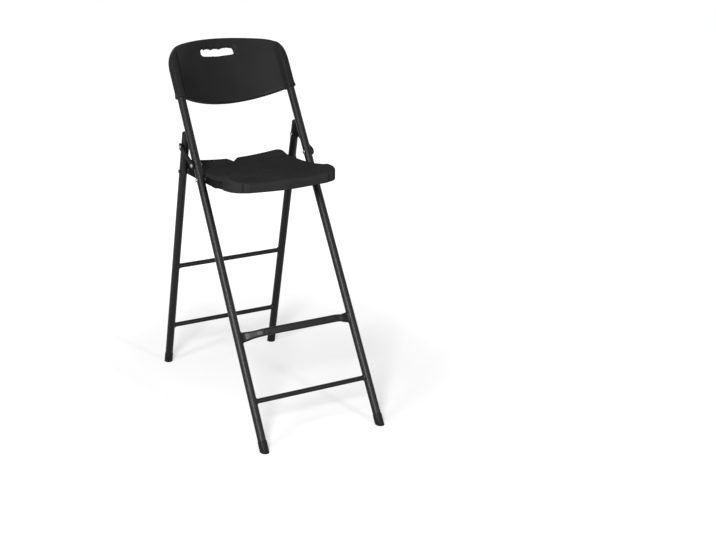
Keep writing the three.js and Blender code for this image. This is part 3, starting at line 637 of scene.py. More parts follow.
def plastic(
    name: str, tones: tuple[float, float], roughness: float, specular: float,
    grain: float, grain_scale: float,
) -> Finish:
    """Moulded plastic with a fine leather-like grain."""
    dark, light = tones
    return Finish(
        name, (dark,) * 3, (light, light, light * 1.03), cloud=Pattern(9, 6, 0.6),
        gloss=Pattern(26, 4, 0.6), gloss_window=(0.3, 0.7),
        roughness=(roughness - 0.05, roughness + 0.07),
        reliefs=(
            Relief(Pattern(grain_scale), grain, 0.0003),
            Relief(Pattern(grain_scale * 2.4, 3), grain * 0.7, 0.00015),
            Relief(Pattern(6, 1), 0.2, 0.002),
        ),
        specular=specular,
    )


POWDER_COAT = powder_coat("powder coat", (0.004, 0.006), 0.37, 0.17, 0.012)
PLATE_COAT = powder_coat("powder coat on flat steel", (0.004, 0.007), 0.5, 0.03, 0.12)
SHELL_PLASTIC = plastic("grained shell plastic", (0.0105, 0.0135), 0.4, 0.04, 0.16, 620)
# The seat's copy of the backrest's grained plastic. It is the same plastic, with its base colour
# painted lighter as painted light on the seat's top, and its gloss nearly taken away.
SEAT_PLASTIC_PAINTED_LIGHTER = plastic("matt grained seat plastic painted lighter", (0.018, 0.022), 0.7, 0.004, 0.25, 620)
CAP_PLASTIC = plastic("smooth cap plastic", (0.004, 0.006), 0.5, 0.12, 0.1, 900)
NYLON = plastic("nylon washer", (0.05, 0.07), 0.42, 0.4, 0.08, 1100)
PLATED_STEEL = Finish(
    "bright plating", (0.2, 0.2, 0.204), (0.3,) * 3, cloud=Pattern(420, 5, 0.6),
    gloss=Pattern(900, 3), gloss_window=(0.3, 0.7), roughness=(0.34, 0.5),
    reliefs=(Relief(Pattern(1700, 3), 0.12, 0.0001),), metallic=1.0,
)

SLOT_FINISHES = {
    Slot.STEEL: POWDER_COAT,
    Slot.PLASTIC: SHELL_PLASTIC,
    Slot.CAP: CAP_PLASTIC,
    Slot.BRIGHT: PLATED_STEEL,
    Slot.NYLON: NYLON,
}
FLAT_STEEL = (
    "seat_rail_left", "seat_rail_right", "seat_cross_strip", "link_plate_left", "link_plate_right",
)
# The seat shell takes the copy of the shell plastic that is painted lighter.
NODE_FINISHES = {"seat_shell": SEAT_PLASTIC_PAINTED_LIGHTER, **{node: PLATE_COAT for node in FLAT_STEEL}}


class Wardrobe:
    """The finishes as materials, each made once, and the last steps of every piece."""

    def __init__(self) -> None:
        """Makes the materials."""
        finishes = dict.fromkeys([*SLOT_FINISHES.values(), *NODE_FINISHES.values()])
        self.materials = {finish: finish.material() for finish in finishes}

    def dress(self, node: str, piece: Piece, slot: Slot, body: Body) -> None:
        """Names and finishes a piece.

        Args:
            node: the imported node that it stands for.
            piece: the finished mesh.
            slot: the material slot that it takes.
            body: the body that it moves with.
        """
        piece.name = f"{node}_finish"
        piece.data.materials.clear()
        finish = NODE_FINISHES.get(node, SLOT_FINISHES[slot])
        piece.data.materials.append(self.materials[finish])
        select_only(piece)
        bpy.ops.object.shade_smooth_by_angle(angle=SMOOTH_ANGLE)
        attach(piece, body.value)
        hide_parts(node)
        log.info("%s: %d faces, rides on %s", piece.name, len(piece.data.polygons), body.value)


# Frames


@dataclass
class FrameTube:
    """A round steel tube, open at both ends."""

    wall: float = 0.0015
    deburr: float = 0.0003
    foot: float = 0.0083

    def build(self, side: int, end: float) -> Piece:
        """Models one side's tube in its frame's plane, up to a place along it."""
        start = LAYOUT.on_tube(side, self.foot)
        run = LAYOUT.on_tube(side, end) - start
        outer, inner, burr = LAYOUT.tube_radius, LAYOUT.tube_radius - self.wall, self.deburr
        profile = [
            (inner, 0), (outer - burr, 0), (outer, burr), (outer, run.length / 2),
            (outer, run.length - burr), (outer - burr, run.length), (inner, run.length),
        ]
        return moved(ring(profile), running(start, run))


@dataclass
class WeldedBar:
    """A straight round bar whose ends follow the round tubes and carry a weld bead."""

    along: float
    radius: float = 0.0075
    spacing: float = 0.03
    sides: int = 72
    bead: float = 0.0022
    bead_width: float = 0.0036
    ripples: int = 21
    ripple: float = 0.12
    hold: float = 0.01
    end_rows: tuple[float, ...] = (
        -0.0005, 0.0, 0.0006, 0.0012, 0.0019, 0.0026, 0.0032, 0.0037, 0.006, 0.01,
    )

    def build(self) -> Piece:
        """Models the bar in its frame's plane, in rings that crowd by the welds."""
        half_span, last = LAYOUT.half_gauge(self.along), self.end_rows[-1]
        reach = half_span - LAYOUT.tube_radius
        count = math.ceil((reach - last) / self.spacing)
        near = [*self.end_rows, *(last + (reach - last) * (i + 1) / count for i in range(count))]
        rows = [(-1, gap) for gap in near[:-1]] + [(1, gap) for gap in reversed(near)]

        def place(turn: float, row: int) -> Vector:
            """A point of the bar's skin."""
            side, gap = rows[row]
            across, behind, up = self.skin(half_span, gap, turn)
            return Vector((side * across, behind, self.along + up))

        return rolled(self.sides, len(rows) - 1, place)

    def skin(self, half_span: float, gap: float, turn: float) -> tuple[float, float, float]:
        """A point of its skin.

        Args:
            half_span: half the distance between the tube axes.
            gap: the distance from the tube.
            turn: the share of the way round the bar.

        Returns:
            How far the point lies from the middle, behind the tubes and above its axis.
        """
        wide = self.radius + self.swell(gap, turn)
        behind = wide * math.cos(math.tau * turn)
        return self.beside_tube(half_span, gap, behind), behind, wide * math.sin(math.tau * turn)

    def swell(self, gap: float, turn: float) -> float:
        """The bead's height at a distance from the tube, at a share of the way round."""
        if gap >= self.bead_width:
            return 0.0
        share = max(0.0, gap) / self.bead_width
        ripple = 1 + self.ripple * math.sin(math.tau * self.ripples * turn)
        return self.bead * ripple * math.sqrt(1 - share * share)

    def beside_tube(self, half_span: float, gap: float, behind: float) -> float:
        """How far from the middle a point lies that is a distance from the tube's round side."""
        radius = LAYOUT.tube_radius
        hold = 1 - smooth(gap / self.hold)
        side = math.sqrt(max(radius * radius - behind * behind, 0))
        return half_span - radius - gap + (radius - side) * hold


@dataclass
class Footrest(WeldedBar):
    """The footrest: a flattened tube that is bowed forwards."""

    along: float = 0.338
    spacing: float = 0.0035
    height: float = 0.023
    depth: float = 0.013
    bow: float = 0.034
    bend: float = 0.066
    flare: float = 0.004
    flare_share: float = 0.6
    probe: float = 0.0005
    lean_reach: float = 0.006

    def line(self, distance: float) -> float:
        """How far its middle lies behind the tubes, at a distance from them."""
        return -self.bow * smooth(distance / self.bend)

    def skin(self, half_span: float, gap: float, turn: float) -> tuple[float, float, float]:
        """A point of its skin, given like the round bar's."""
        wide, angle = self.depth / 2 + self.swell(gap, turn), math.tau * turn
        flare = self.flare * max(0.0, 1 - smooth(gap / (self.flare_share * self.bend)))
        flat = self.height / 2 - self.depth / 2 + flare
        off = wide * math.cos(angle)
        up = wide * math.sin(angle) + math.copysign(flat, math.sin(angle))
        rise = self.line(gap + self.probe) - self.line(max(gap - self.probe, 0))
        lean = math.atan(rise / (2 * self.probe)) * smooth(gap / self.lean_reach)
        behind = self.line(gap) + off * math.cos(lean)
        return self.beside_tube(half_span, gap, behind) + off * math.sin(lean), behind, up


CAP_RIM = ((0, 1), (0.15, 0.5), (0.4, 0))


@dataclass
class FootCap:
    """A plastic cap over a tube's foot."""

    radius: float = 0.0138
    socket: float = 0.0128
    draft: float = 0.0001
    lip: float = 0.0006
    floor: float = 0.008
    height: float = 0.032
    edge: float = 0.0016
    sole_edge: float = 0.0004

    def build(self, side: int, plane: Matrix) -> Piece:
        """Models one side's cap in its frame's place, cut level with the floor."""
        wide, high, edge, mouth = self.radius, self.height, self.edge, self.socket - self.draft
        profile = [(wide, -wide)]
        profile += [(wide - edge * inwards, high - edge * down) for inwards, down in CAP_RIM]
        profile += [(self.socket, high), (mouth, high - self.lip), (mouth, self.floor)]
        run = LAYOUT.on_tube(side, LAYOUT.seat_pivot) - LAYOUT.on_tube(side, 0)
        piece = moved(turned(profile, ROUND), plane @ running(LAYOUT.on_tube(side, 0), run))
        with editing(piece):
            bpy.ops.mesh.bisect(plane_co=(0, 0, 0), plane_no=UP, use_fill=True, clear_inner=True)
        close_up(piece)
        return bevel(piece, self.sole_edge, 2)


DOME = ((1, 0), (1, 0.2), (0.96, 0.45), (0.84, 0.72), (0.6, 0.92), (0.3, 1), (0.05, 1))
ROLLED_RIM = (
    (1, 0), (1, 0.3), (0.95, 0.65), (0.84, 0.92), (0.7, 1), (0.57, 0.9), (0.46, 0.62), (0.4, 0.2),
    (0.05, 0.1),
)
PLUG_CROWN = ((1, 0.5), (0.985, 0.66), (0.93, 0.82), (0.84, 0.93), (0.72, 1))


@dataclass(frozen=True)
class Fastener:
    """Rivets, washers and screws, modelled along +Z."""

    shank: float = 0.004
    head: float = 0.0062
    height: float = 0.0024
    washer: float = 0.0075
    washer_hole: float = 0.0043
    washer_edge: float = 0.0002
    screw_head: float = 0.004
    screw_height: float = 0.0022
    screw_shank: float = 0.002
    screw_length: float = 0.012
    screw_point: float = 0.002
    screw_tip: float = 0.0003
    cross_long: float = 0.0042
    cross_wide: float = 0.0009
    cross_deep: float = 0.0026

    @property
    def dome(self) -> list[tuple[float, float]]:
        """A rivet's domed head, from its rim to its crown."""
        return scaled(DOME, self.head, self.height)

    @property
    def rolled_rim(self) -> list[tuple[float, float]]:
        """A rivet's rolled-over end, from its rim to the dimple in it."""
        return scaled(ROLLED_RIM, self.head, self.height)

    def rivet(self, length: float, first: Profile, last: Profile, shank: float) -> Piece:
        """Models a rivet.

        Args:
            length: its shank's length.
            first: the profile of its first end, from rim to middle, or nothing for a plain end.
            last: the profile of its last end.
            shank: its shank's radius.

        Returns:
            The rivet, its shank starting at the origin.
        """
        profile = [*flipped(first), (shank, 0), (shank, length)]
        return turned(profile + [(radius, length + up) for radius, up in last])

    def ring_washer(self, thickness: float) -> Piece:
        """Models a washer."""
        wide, edge = self.washer, min(self.washer_edge, thickness / 4)
        profile = [
            (self.washer_hole, 0), (wide - edge, 0), (wide, edge), (wide, thickness - edge),
            (wide - edge, thickness), (self.washer_hole, thickness),
        ]
        return ring(profile, 48)

    def screw(self) -> Piece:
        """Models a screw with a cross in its head."""
        profile = flipped(scaled(DOME, self.screw_head, self.screw_height))
        straight = self.screw_length - self.screw_point
        profile += [(self.screw_shank, 0), (self.screw_shank, straight)]
        piece = turned(profile + [(self.screw_tip, self.screw_length)])
        bars = [(self.cross_long, self.cross_wide), (self.cross_wide, self.cross_long)]
        for across, up in bars:
            place, scale = (0, 0, -self.screw_height), (across, up, self.cross_deep)
            add = bpy.ops.mesh.primitive_cube_add
            cut(piece, primitive(add, size=1, location=place, scale=scale))
        return piece


FASTENER = Fastener()


class StoolFrame:
    """What the front and rear frames have alike."""

    body: Body
    plane: Matrix
    prefix: str
    tube_end: float
    bars: dict[str, WeldedBar]

    def __init__(self, wardrobe: Wardrobe) -> None:
        """Keeps the finishes."""
        self.wardrobe = wardrobe

    def build(self) -> None:
        """Models the frame."""
        for name, side in SIDES.items():
            tube = FrameTube().build(side, self.tube_end)
            self.place(f"{self.prefix}_tube_{name}", tube, Slot.STEEL)
            cap = FootCap().build(side, self.plane)
            self.wardrobe.dress(f"{self.prefix}_foot_cap_{name}", cap, Slot.CAP, self.body)
        for node, bar in self.bars.items():
            self.place(node, bar.build(), Slot.STEEL)
        for name in SIDES:
            self.fittings(name)

    def fittings(self, name: str) -> None:
        """Makes what one side carries besides its tube and foot cap."""
        raise NotImplementedError

    def place(self, node: str, piece: Piece, slot: Slot) -> None:
        """Puts a piece from the frame's plane in its place and finishes it."""
        self.wardrobe.dress(node, moved(piece, self.plane), slot, self.body)

    def outwards(
        self, kind: str, name: str, piece: Piece, slot: Slot, along: float, start: float
    ) -> None:
        """Places a piece that is modelled along +Z so that it runs outwards across a tube.

        Args:
            kind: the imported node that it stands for, without its side.
            name: the side's name.
            piece: the piece.
            slot: the material slot that it takes.
            along: its place along the frame.
            start: where it starts, from the middle.
        """
        side = SIDES[name]
        moved(piece, running(Vector((side * start, 0, along)), Vector((side, 0, 0))))
        self.place(f"{kind}_{name}", piece, slot)

    def rivet(self, kind: str, name: str, along: float, start: float, end: float) -> None:
        """Makes a rivet between two places from the middle, domed inside and rolled outside."""
        piece = FASTENER.rivet(end - start, FASTENER.dome, FASTENER.rolled_rim, FASTENER.shank)
        self.outwards(kind, name, piece, Slot.BRIGHT, along, start)

    def washer(self, kind: str, name: str, along: float, start: float, end: float) -> None:
        """Makes a washer between two places from the middle."""
        self.outwards(kind, name, FASTENER.ring_washer(end - start), Slot.NYLON, along, start)

    def tube_sides(self, along: float) -> tuple[float, float]:
        """How far from the middle a tube's inner and outer sides lie, with the gap beside them."""
        axis, radius, gap = LAYOUT.half_gauge(along), LAYOUT.tube_radius, LAYOUT.gap
        return axis - radius - gap, axis + radius + gap

    def link_pivot(self, kind: str, name: str, along: float) -> None:
        """Makes the rivet and the washer that a link plate turns on."""
        inner, outer = self.tube_sides(along)
        self.rivet(f"{kind}_rivet", name, along, inner, LAYOUT.plate_outer + LAYOUT.gap)
        self.washer(f"{kind}_washer", name, along, outer, LAYOUT.plate_inner - LAYOUT.gap)


class FrontFrame(StoolFrame):
    """The front frame: tubes, low bar, footrest, feet and the pivots that it carries."""

    body = Body.FRONT
    plane = LAYOUT.front
    prefix = "front"
    tube_end = LAYOUT.front_tube_end
    bars = {"front_cross_bar": WeldedBar(0.1467), "footrest": Footrest()}

    def fittings(self, name: str) -> None:
        """Makes one side's rivets and washers."""
        along = LAYOUT.seat_pivot
        inner, outer = self.tube_sides(along)
        self.rivet("seat_pivot_rivet", name, along, LAYOUT.rail_inner - LAYOUT.gap, outer)
        self.washer("seat_pivot_washer", name, along, LAYOUT.rail_outer + LAYOUT.gap, inner)
        self.link_pivot("link_upper", name, LAYOUT.link_upper)


class RearFrame(StoolFrame):
    """The rear frame: tubes, two bars, feet, top plugs and the pivots that it carries."""

    body = Body.REAR
    plane = LAYOUT.rear
    prefix = "rear"
    tube_end = LAYOUT.rear_tube_end
    bars = {"rear_upper_bar": WeldedBar(0.3715), "rear_lower_bar": WeldedBar(0.143)}
    plug_flange = 0.006
    plug_depth = 0.016
    plug_stem = 0.0107
    plug_tip = 0.0006

    def fittings(self, name: str) -> None:
        """Makes one side's plug, rivets and washers."""
        self.plug(name)
        self.link_pivot("link_lower", name, LAYOUT.link_lower)
        along, start = LAYOUT.seat_rear, LAYOUT.rail_outer + LAYOUT.gap
        inner, outer = self.tube_sides(along)
        self.washer("seat_rear_washer", name, along, start, inner)
        piece = FASTENER.rivet(outer - start, [], FASTENER.rolled_rim, FASTENER.shank)
        self.outwards("seat_rear_rivet", name, piece, Slot.STEEL, along, start)

    def plug(self, name: str) -> None:
        """Makes the plug in a tube's upper end."""
        radius, stem, top, side = LAYOUT.tube_radius, self.plug_stem, self.plug_flange, SIDES[name]
        profile = [(stem, -self.plug_depth), (stem, 0), (radius, 0)]
        profile += [*scaled(PLUG_CROWN, radius, top), (self.plug_tip, top)]
        start = LAYOUT.on_tube(side, self.tube_end + LAYOUT.gap)
        run = start - LAYOUT.on_tube(side, 0)
        piece = moved(turned(profile, ROUND), running(start, run))
        self.place(f"rear_top_plug_{name}", piece, Slot.CAP)


@dataclass
class LinkPlates:
    """The flat steel plates outside the tubes."""

    wardrobe: Wardrobe
    end_radius: float = 0.0115
    waist: float = 0.009
    edge: float = 0.0006
    arc_steps: int = 28

    def build(self) -> None:
        """Models both plates."""
        span = LAYOUT.span(LAYOUT.link_upper, LAYOUT.link_lower)
        tilt = math.acos((self.end_radius - self.waist) / (span / 2))
        sweep = math.tau - 2 * tilt
        outline = []
        for centre, start, waist in [(0.0, tilt, -self.waist), (span, math.pi + tilt, self.waist)]:
            for step in range(self.arc_steps + 1):
                turn = start + sweep * step / self.arc_steps
                back = centre + self.end_radius * math.cos(turn)
                outline.append((back, self.end_radius * math.sin(turn)))
            outline.append((span / 2, waist))
        for name, side in SIDES.items():
            points = [Vector((side * LAYOUT.plate_inner, back, up)) for back, up in outline]
            piece = prism(points, Vector((side * LAYOUT.plate_thickness, 0, 0)))
            piece = moved(bevel(piece, self.edge), LAYOUT.links)
            self.wardrobe.dress(f"link_plate_{name}", piece, Slot.STEEL, Body.LINKS)


# Backrest


@dataclass
class Backrest:
    """The moulded backrest, pushed over the front tubes' ends. Heights run along the tubes."""

    wardrobe: Wardrobe
    bottom: float = 1.08695
    top: float = 1.30695
    half_width: float = 0.2041
    side_top: float = 1.17995
    shoulder_x: float = 0.1381
    shoulder: float = 1.27695
    shoulder_run: float = 0.66
    shoulder_drop: float = 0.65
    sleeve_rise: float = 0.006
    bow: float = 0.077
    bow_width: float = 0.1801
    half_thickness: float = 0.010
    sleeve_thickening: float = 0.007
    sleeve_crest: float = 0.1885
    sleeve_reach: float = 0.0155
    sleeve_top: float = 1.222
    sleeve_fade: float = 0.045
    sleeve_end: float = 0.016
    mouth: float = 0.004
    groove_x: float = 0.1718
    groove_width: float = 0.0036
    groove_depth: float = 0.004
    edge_round: float = 0.009
    edge_wall: float = 0.0022
    end_round: float = 0.002
    hole_half_width: float = 0.059
    hole_bottom: float = 1.24595
    hole_top: float = 1.27395
    hole_corner: float = 0.011
    finger_depth: float = 0.0035
    finger_inset: float = 0.008
    teeth: tuple[float, ...] = (0.0142, -0.0142, -0.0415)
    hole_round: float = 0.0095
    hole_fall: float = 0.8
    hole_cut: tuple[float, float] = (-0.04, 0.16)
    sleeve_cut: float = 0.02
    screw_along: float = 1.13195
    screw_hole: float = 0.03
    screw_seat: tuple[float, float] = (-0.0002, 0.02)
    insets: tuple[float, ...] = (
        0, 0.0003, 0.0009, 0.0018, 0.003, 0.0044, 0.006, 0.0077, 0.0096,
    )
    crowding: float = 1.5
    cells: int = 160

    def outline(self) -> MirroredOutline:
        """The shell's outline."""
        wide, low, rise = self.half_width, self.bottom, self.sleeve_rise
        lift = (self.shoulder - self.side_top) / 2
        run = (wide - self.shoulder_x) * self.shoulder_run
        drop = (self.top - self.shoulder) * self.shoulder_drop
        corner, shoulder = (wide - rise, low + rise), (self.shoulder_x, self.shoulder)
        half = [
            *curve((0, low), (self.shoulder_x, low), corner),
            *curve(corner, (wide, low + rise), (wide, low + 2 * rise), steps=10),
            *curve((wide, low + 2 * rise), (wide, self.side_top), steps=4),
            *curve(
                (wide, self.side_top), (wide, self.side_top + lift),
                (self.shoulder_x + run, self.shoulder - drop), shoulder,
            ),
            *curve(shoulder, (self.shoulder_x / 2, self.top), (0, self.top)),
            Vector((0, self.top)),
        ]
        return MirroredOutline(half, low_corner=0.37, high_corner=0.68)

    def hole(self) -> list[Vector]:
        """The hand hole's outline: straight below, with a row of finger hollows above."""
        wide, low, corner = self.hole_half_width, self.hole_bottom, self.hole_corner
        inner, level = wide - self.finger_inset, self.hole_top - self.finger_depth
        points = curve((wide - corner, low), (wide, low), (wide, low + corner), steps=10)
        points += curve((wide, low + corner), (wide, level), (inner, level), steps=10)
        for start, end in zip((inner, *self.teeth), (*self.teeth, -inner)):
            crown = ((start + end) / 2, level + 2 * self.finger_depth)
            points += curve((start, level), crown, (end, level), steps=12)
        points += curve((-inner, level), (-wide, level), (-wide, low + corner), steps=10)
        points += curve((-wide, low + corner), (-wide, low), (-wide + corner, low), steps=10)
        return points + [Vector((-wide + corner, low))]

    def middle(self, x: float) -> float:
        """How far its middle surface lies behind the tubes."""
        share = min(1.0, abs(x) / self.bow_width)
        return self.bow * (1 - share * share)

    def half(self, x: float, along: float) -> float:
        """Half its thickness, with a round sleeve over each tube and a groove beside it."""
        over = (abs(x) - self.sleeve_crest) / self.sleeve_reach
        below = 1 - smooth((along - self.sleeve_top) / self.sleeve_fade)
        swell = self.sleeve_thickening * math.sqrt(max(0.0, 1 - over * over)) * below
        beside = (abs(x) - self.groove_x) / self.groove_width
        return self.half_thickness + swell - self.groove_depth * math.exp(-beside * beside) * below

    def edge_fall(self, x: float, along: float, inset: float, half: float) -> float:
        """How much thinner the shell is at a distance inside its outline.

        Args:
            x: the place across it.
            along: the place along the tubes.
            inset: the distance inside its outline.
            half: half its thickness there.

        Returns:
            What its edge's rounding takes off, which is little where a tube enters its sleeve.
        """
        fall = (half - self.edge_wall) * rounded(inset, self.edge_round) / self.edge_round
        end = smooth((abs(x) - self.groove_x) / self.mouth)
        end *= 1 - smooth((along - self.bottom - self.sleeve_rise - self.mouth) / self.sleeve_end)
        return fall + (rounded(inset, self.end_round) - fall) * end

    def shell(self) -> Piece:
        """Models the shell without its holes."""
        middle = Vector((0, (self.bottom + self.top) / 2))
        plan = RingPlan(self.outline(), middle, self.insets, self.cells, self.crowding)
        rim = ClosedPath(self.hole())

        def place(u: float, v: float, upper: bool) -> Vector:
            """A point of the shell's skin."""
            flat, inset = plan.place(u, v)
            x, along = flat
            half = self.half(x, along)
            thick = half - self.edge_fall(x, along, inset, half)
            thick -= rounded(rim.distance(flat, self.hole_round), self.hole_round) * self.hole_fall
            return Vector((x, self.middle(x) + (thick if upper else -thick), along))

        return slab(self.cells, place)

    def build(self) -> None:
        """Models the backrest and its screws."""
        piece = self.shell()
        front, back = self.hole_cut
        points = [Vector((point.x, front, point.y)) for point in self.hole()]
        cut(piece, prism(points, Vector((0, back - front, 0))))
        for side in SIDES.values():
            start = LAYOUT.on_tube(side, self.bottom - self.sleeve_cut)
            run = LAYOUT.on_tube(side, LAYOUT.front_tube_end + LAYOUT.gap) - start
            wide = LAYOUT.tube_radius + LAYOUT.gap
            room = turned([(wide, 0), (wide, run.length)], ROUND)
            cut(piece, moved(room, running(start, run)))
            cut(piece, self.screw_room(side))
        self.wardrobe.dress("backrest_shell", moved(piece, LAYOUT.front), Slot.PLASTIC, Body.FRONT)
        for name, side in SIDES.items():
            place = LAYOUT.front @ running(self.screw_start(side), Vector((0, -1, 0)))
            screw = moved(FASTENER.screw(), place)
            self.wardrobe.dress(f"backrest_screw_{name}", screw, Slot.STEEL, Body.FRONT)

    def screw_start(self, side: int) -> Vector:
        """Where a screw's head rests, behind the sleeve."""
        axis = LAYOUT.half_gauge(self.screw_along)
        behind = self.middle(axis - FASTENER.screw_head) + self.half_thickness
        behind += self.sleeve_thickening + LAYOUT.gap
        return Vector((side * axis, behind, self.screw_along))

    def screw_room(self, side: int) -> Piece:
        """The cutter for a screw's seat and hole."""
        hole, seat = FASTENER.screw_shank, FASTENER.screw_head + LAYOUT.gap
        low, high = self.screw_seat
        piece = turned([(hole, -self.screw_hole), (hole, low), (seat, low), (seat, high)])
        return moved(piece, running(self.screw_start(side), Vector((0, 1, 0))))


# Seat


@dataclass
class SeatShell:
    """The moulded seat. Places are forward of the seat's front pivot, heights above it."""

    front: float = 0.205
    rear: float = 0.18106
    rear_bow: float = 0.008
    half_width: float = 0.1735
    front_half_width: float = 0.176
    shoulder: float = 0.112
    shoulder_run: float = 0.016
    front_corner: float = 0.050
    rear_corner: float = 0.038
    wave: float = 0.004
    wave_x: float = 0.095
    bottom: float = 0.015
    front_lift: float = 0.006
    side_lift: float = 0.007
    side_lift_x: float = 0.150
    rim_height: float = 0.0165
    rim_rise: float = 0.0205
    rise_start: float = -0.060
    rise_run: float = 0.196
    rear_curl: float = 0.012
    curl_start: float = -0.120
    curl_run: float = 0.050
    rear_dish: float = 0.0035
    dish: float = 0.014
    hump: float = 0.006
    hump_width: float = 0.042
    front_drop: float = 0.007
    drop_start: float = 0.150
    edge_round: float = 0.007
    under_round: float = 0.004
    side_step: float = 0.004
    bend: float = 0.054
    notch_half_width: float = 0.021
    notch_depth: float = 0.020
    notch_reach: float = 0.052
    notch_round: float = 0.0015
    flute_x: float = 0.142
    flute_width: float = 0.005
    flute_depth: float = 0.005
    flute_fade: float = 0.006
    groove: float = 0.0022
    insets: tuple[float, ...] = (0, 0.0003, 0.0009, 0.0018, 0.003, 0.0044, 0.0058, 0.0072)
    cells: int = 150

    def outline(self) -> MirroredOutline:
        """The seat's outline, from its rear middle to its front middle."""
        wide, broad, front, rear = self.half_width, self.front_half_width, self.front, -self.rear
        rear_side = -(self.rear - self.rear_bow)
        turn_end, turn_x = rear_side + self.rear_corner, wide - self.rear_corner
        start, step = self.shoulder, self.shoulder + self.shoulder_run / 2
        widened = self.shoulder + self.shoulder_run
        front_side, corner_x = front - self.front_corner, broad - self.front_corner
        half = [
            *curve((0, rear), (wide / 2, rear), (turn_x, rear_side)),
            *curve((turn_x, rear_side), (wide, rear_side), (wide, turn_end)),
            *curve((wide, turn_end), (wide, start), steps=30),
            *curve((wide, start), (wide, step), (broad, step), (broad, widened), steps=12),
            *curve((broad, widened), (broad, front_side), steps=6),
            *curve((broad, front_side), (broad, front), (corner_x, front)),
            *curve(
                (corner_x, front), (self.wave_x, front - self.wave),
                (self.wave_x / 2, front - self.wave), (0, front),
            ),
            Vector((0, front)),
        ]
        return MirroredOutline(half, low_corner=0.235, high_corner=0.765)

    def curl(self, forward: float) -> float:
        """How far the seat curls up towards its rear edge, as a share."""
        return smooth((self.curl_start - forward) / self.curl_run)

    def rim(self, forward: float) -> float:
        """The height of the side edge."""
        share = min(1.0, max(0.0, (forward - self.rise_start) / self.rise_run))
        return self.rim_height + self.rim_rise * share * share + self.rear_curl * self.curl(forward)

    def top(self, x: float, forward: float) -> float:
        """The height of the dished top."""
        across = min(1.0, abs(x) / self.half_width)
        front_share = smooth((forward - self.rise_start) / (self.front - self.rise_start))
        hump = self.hump * front_share * math.exp(-((x / self.hump_width) ** 2))
        drop = max(0.0, (forward - self.drop_start) / (self.front - self.drop_start))
        dish = (self.dish + self.rear_dish * self.curl(forward)) * (1 - across * across)
        return self.rim(forward) - dish + hump - self.front_drop * drop * drop

    def under(self, x: float, forward: float) -> float:
        """The height of the underside, which rises in front of the rails' bend."""
        share = max(0.0, (forward - self.bend) / (self.front - self.bend))
        lift = self.front_lift + self.side_lift * (x / self.side_lift_x) ** 2
        return -self.bottom + lift * share

    def flute(self, x: float, forward: float, inset: float) -> float:
        """How far the shallow upright flute near each front corner cuts back the front edge."""
        if forward < self.front - self.front_corner:
            return 0.0
        across = (abs(x) - self.flute_x) / self.flute_width
        fade = 1 - smooth(inset / self.flute_fade)
        return self.flute_depth * math.exp(-across * across) * fade

    def notched(self, x: float, forward: float, height: float) -> float:
        """Lowers the top to the V-shaped notch.

        Args:
            x: the place across the seat.
            forward: the place along it.
            height: the top's height there.

        Returns:
            The height in the notch, which is deepest at the rear edge and runs out forwards.
        """
        tip = self.notch_reach - self.rear
        share = (tip - forward) / self.notch_reach
        if share <= 0:
            return height
        start, low = self.top(0, tip), self.top(0, -self.rear) - self.notch_depth
        wall = abs(x) * self.notch_depth / self.notch_half_width
        floor = start + (low - start) * share + wall
        near = max(0.0, self.notch_round - abs(floor - height))
        return min(floor, height) - near * near / (4 * self.notch_round)

    def shell(self) -> Piece:
        """Models the shell without what is cut out of it."""
        middle = Vector((0, (self.front - self.rear) / 2))
        plan = RingPlan(self.outline(), middle, self.insets, self.cells)

        def place(u: float, v: float, upper: bool) -> Vector:
            """A point of the shell's skin."""
            flat, inset = plan.place(u, v)
            x, forward = flat
            forward -= self.flute(x, forward, inset)
            if not upper:
                height = self.under(x, forward) + rounded(inset, self.under_round)
                return Vector((x, -forward, height))
            height = self.top(x, forward) - rounded(inset, self.edge_round)
            return Vector((x, -forward, self.notched(x, forward, height)))

        return slab(self.cells, place)


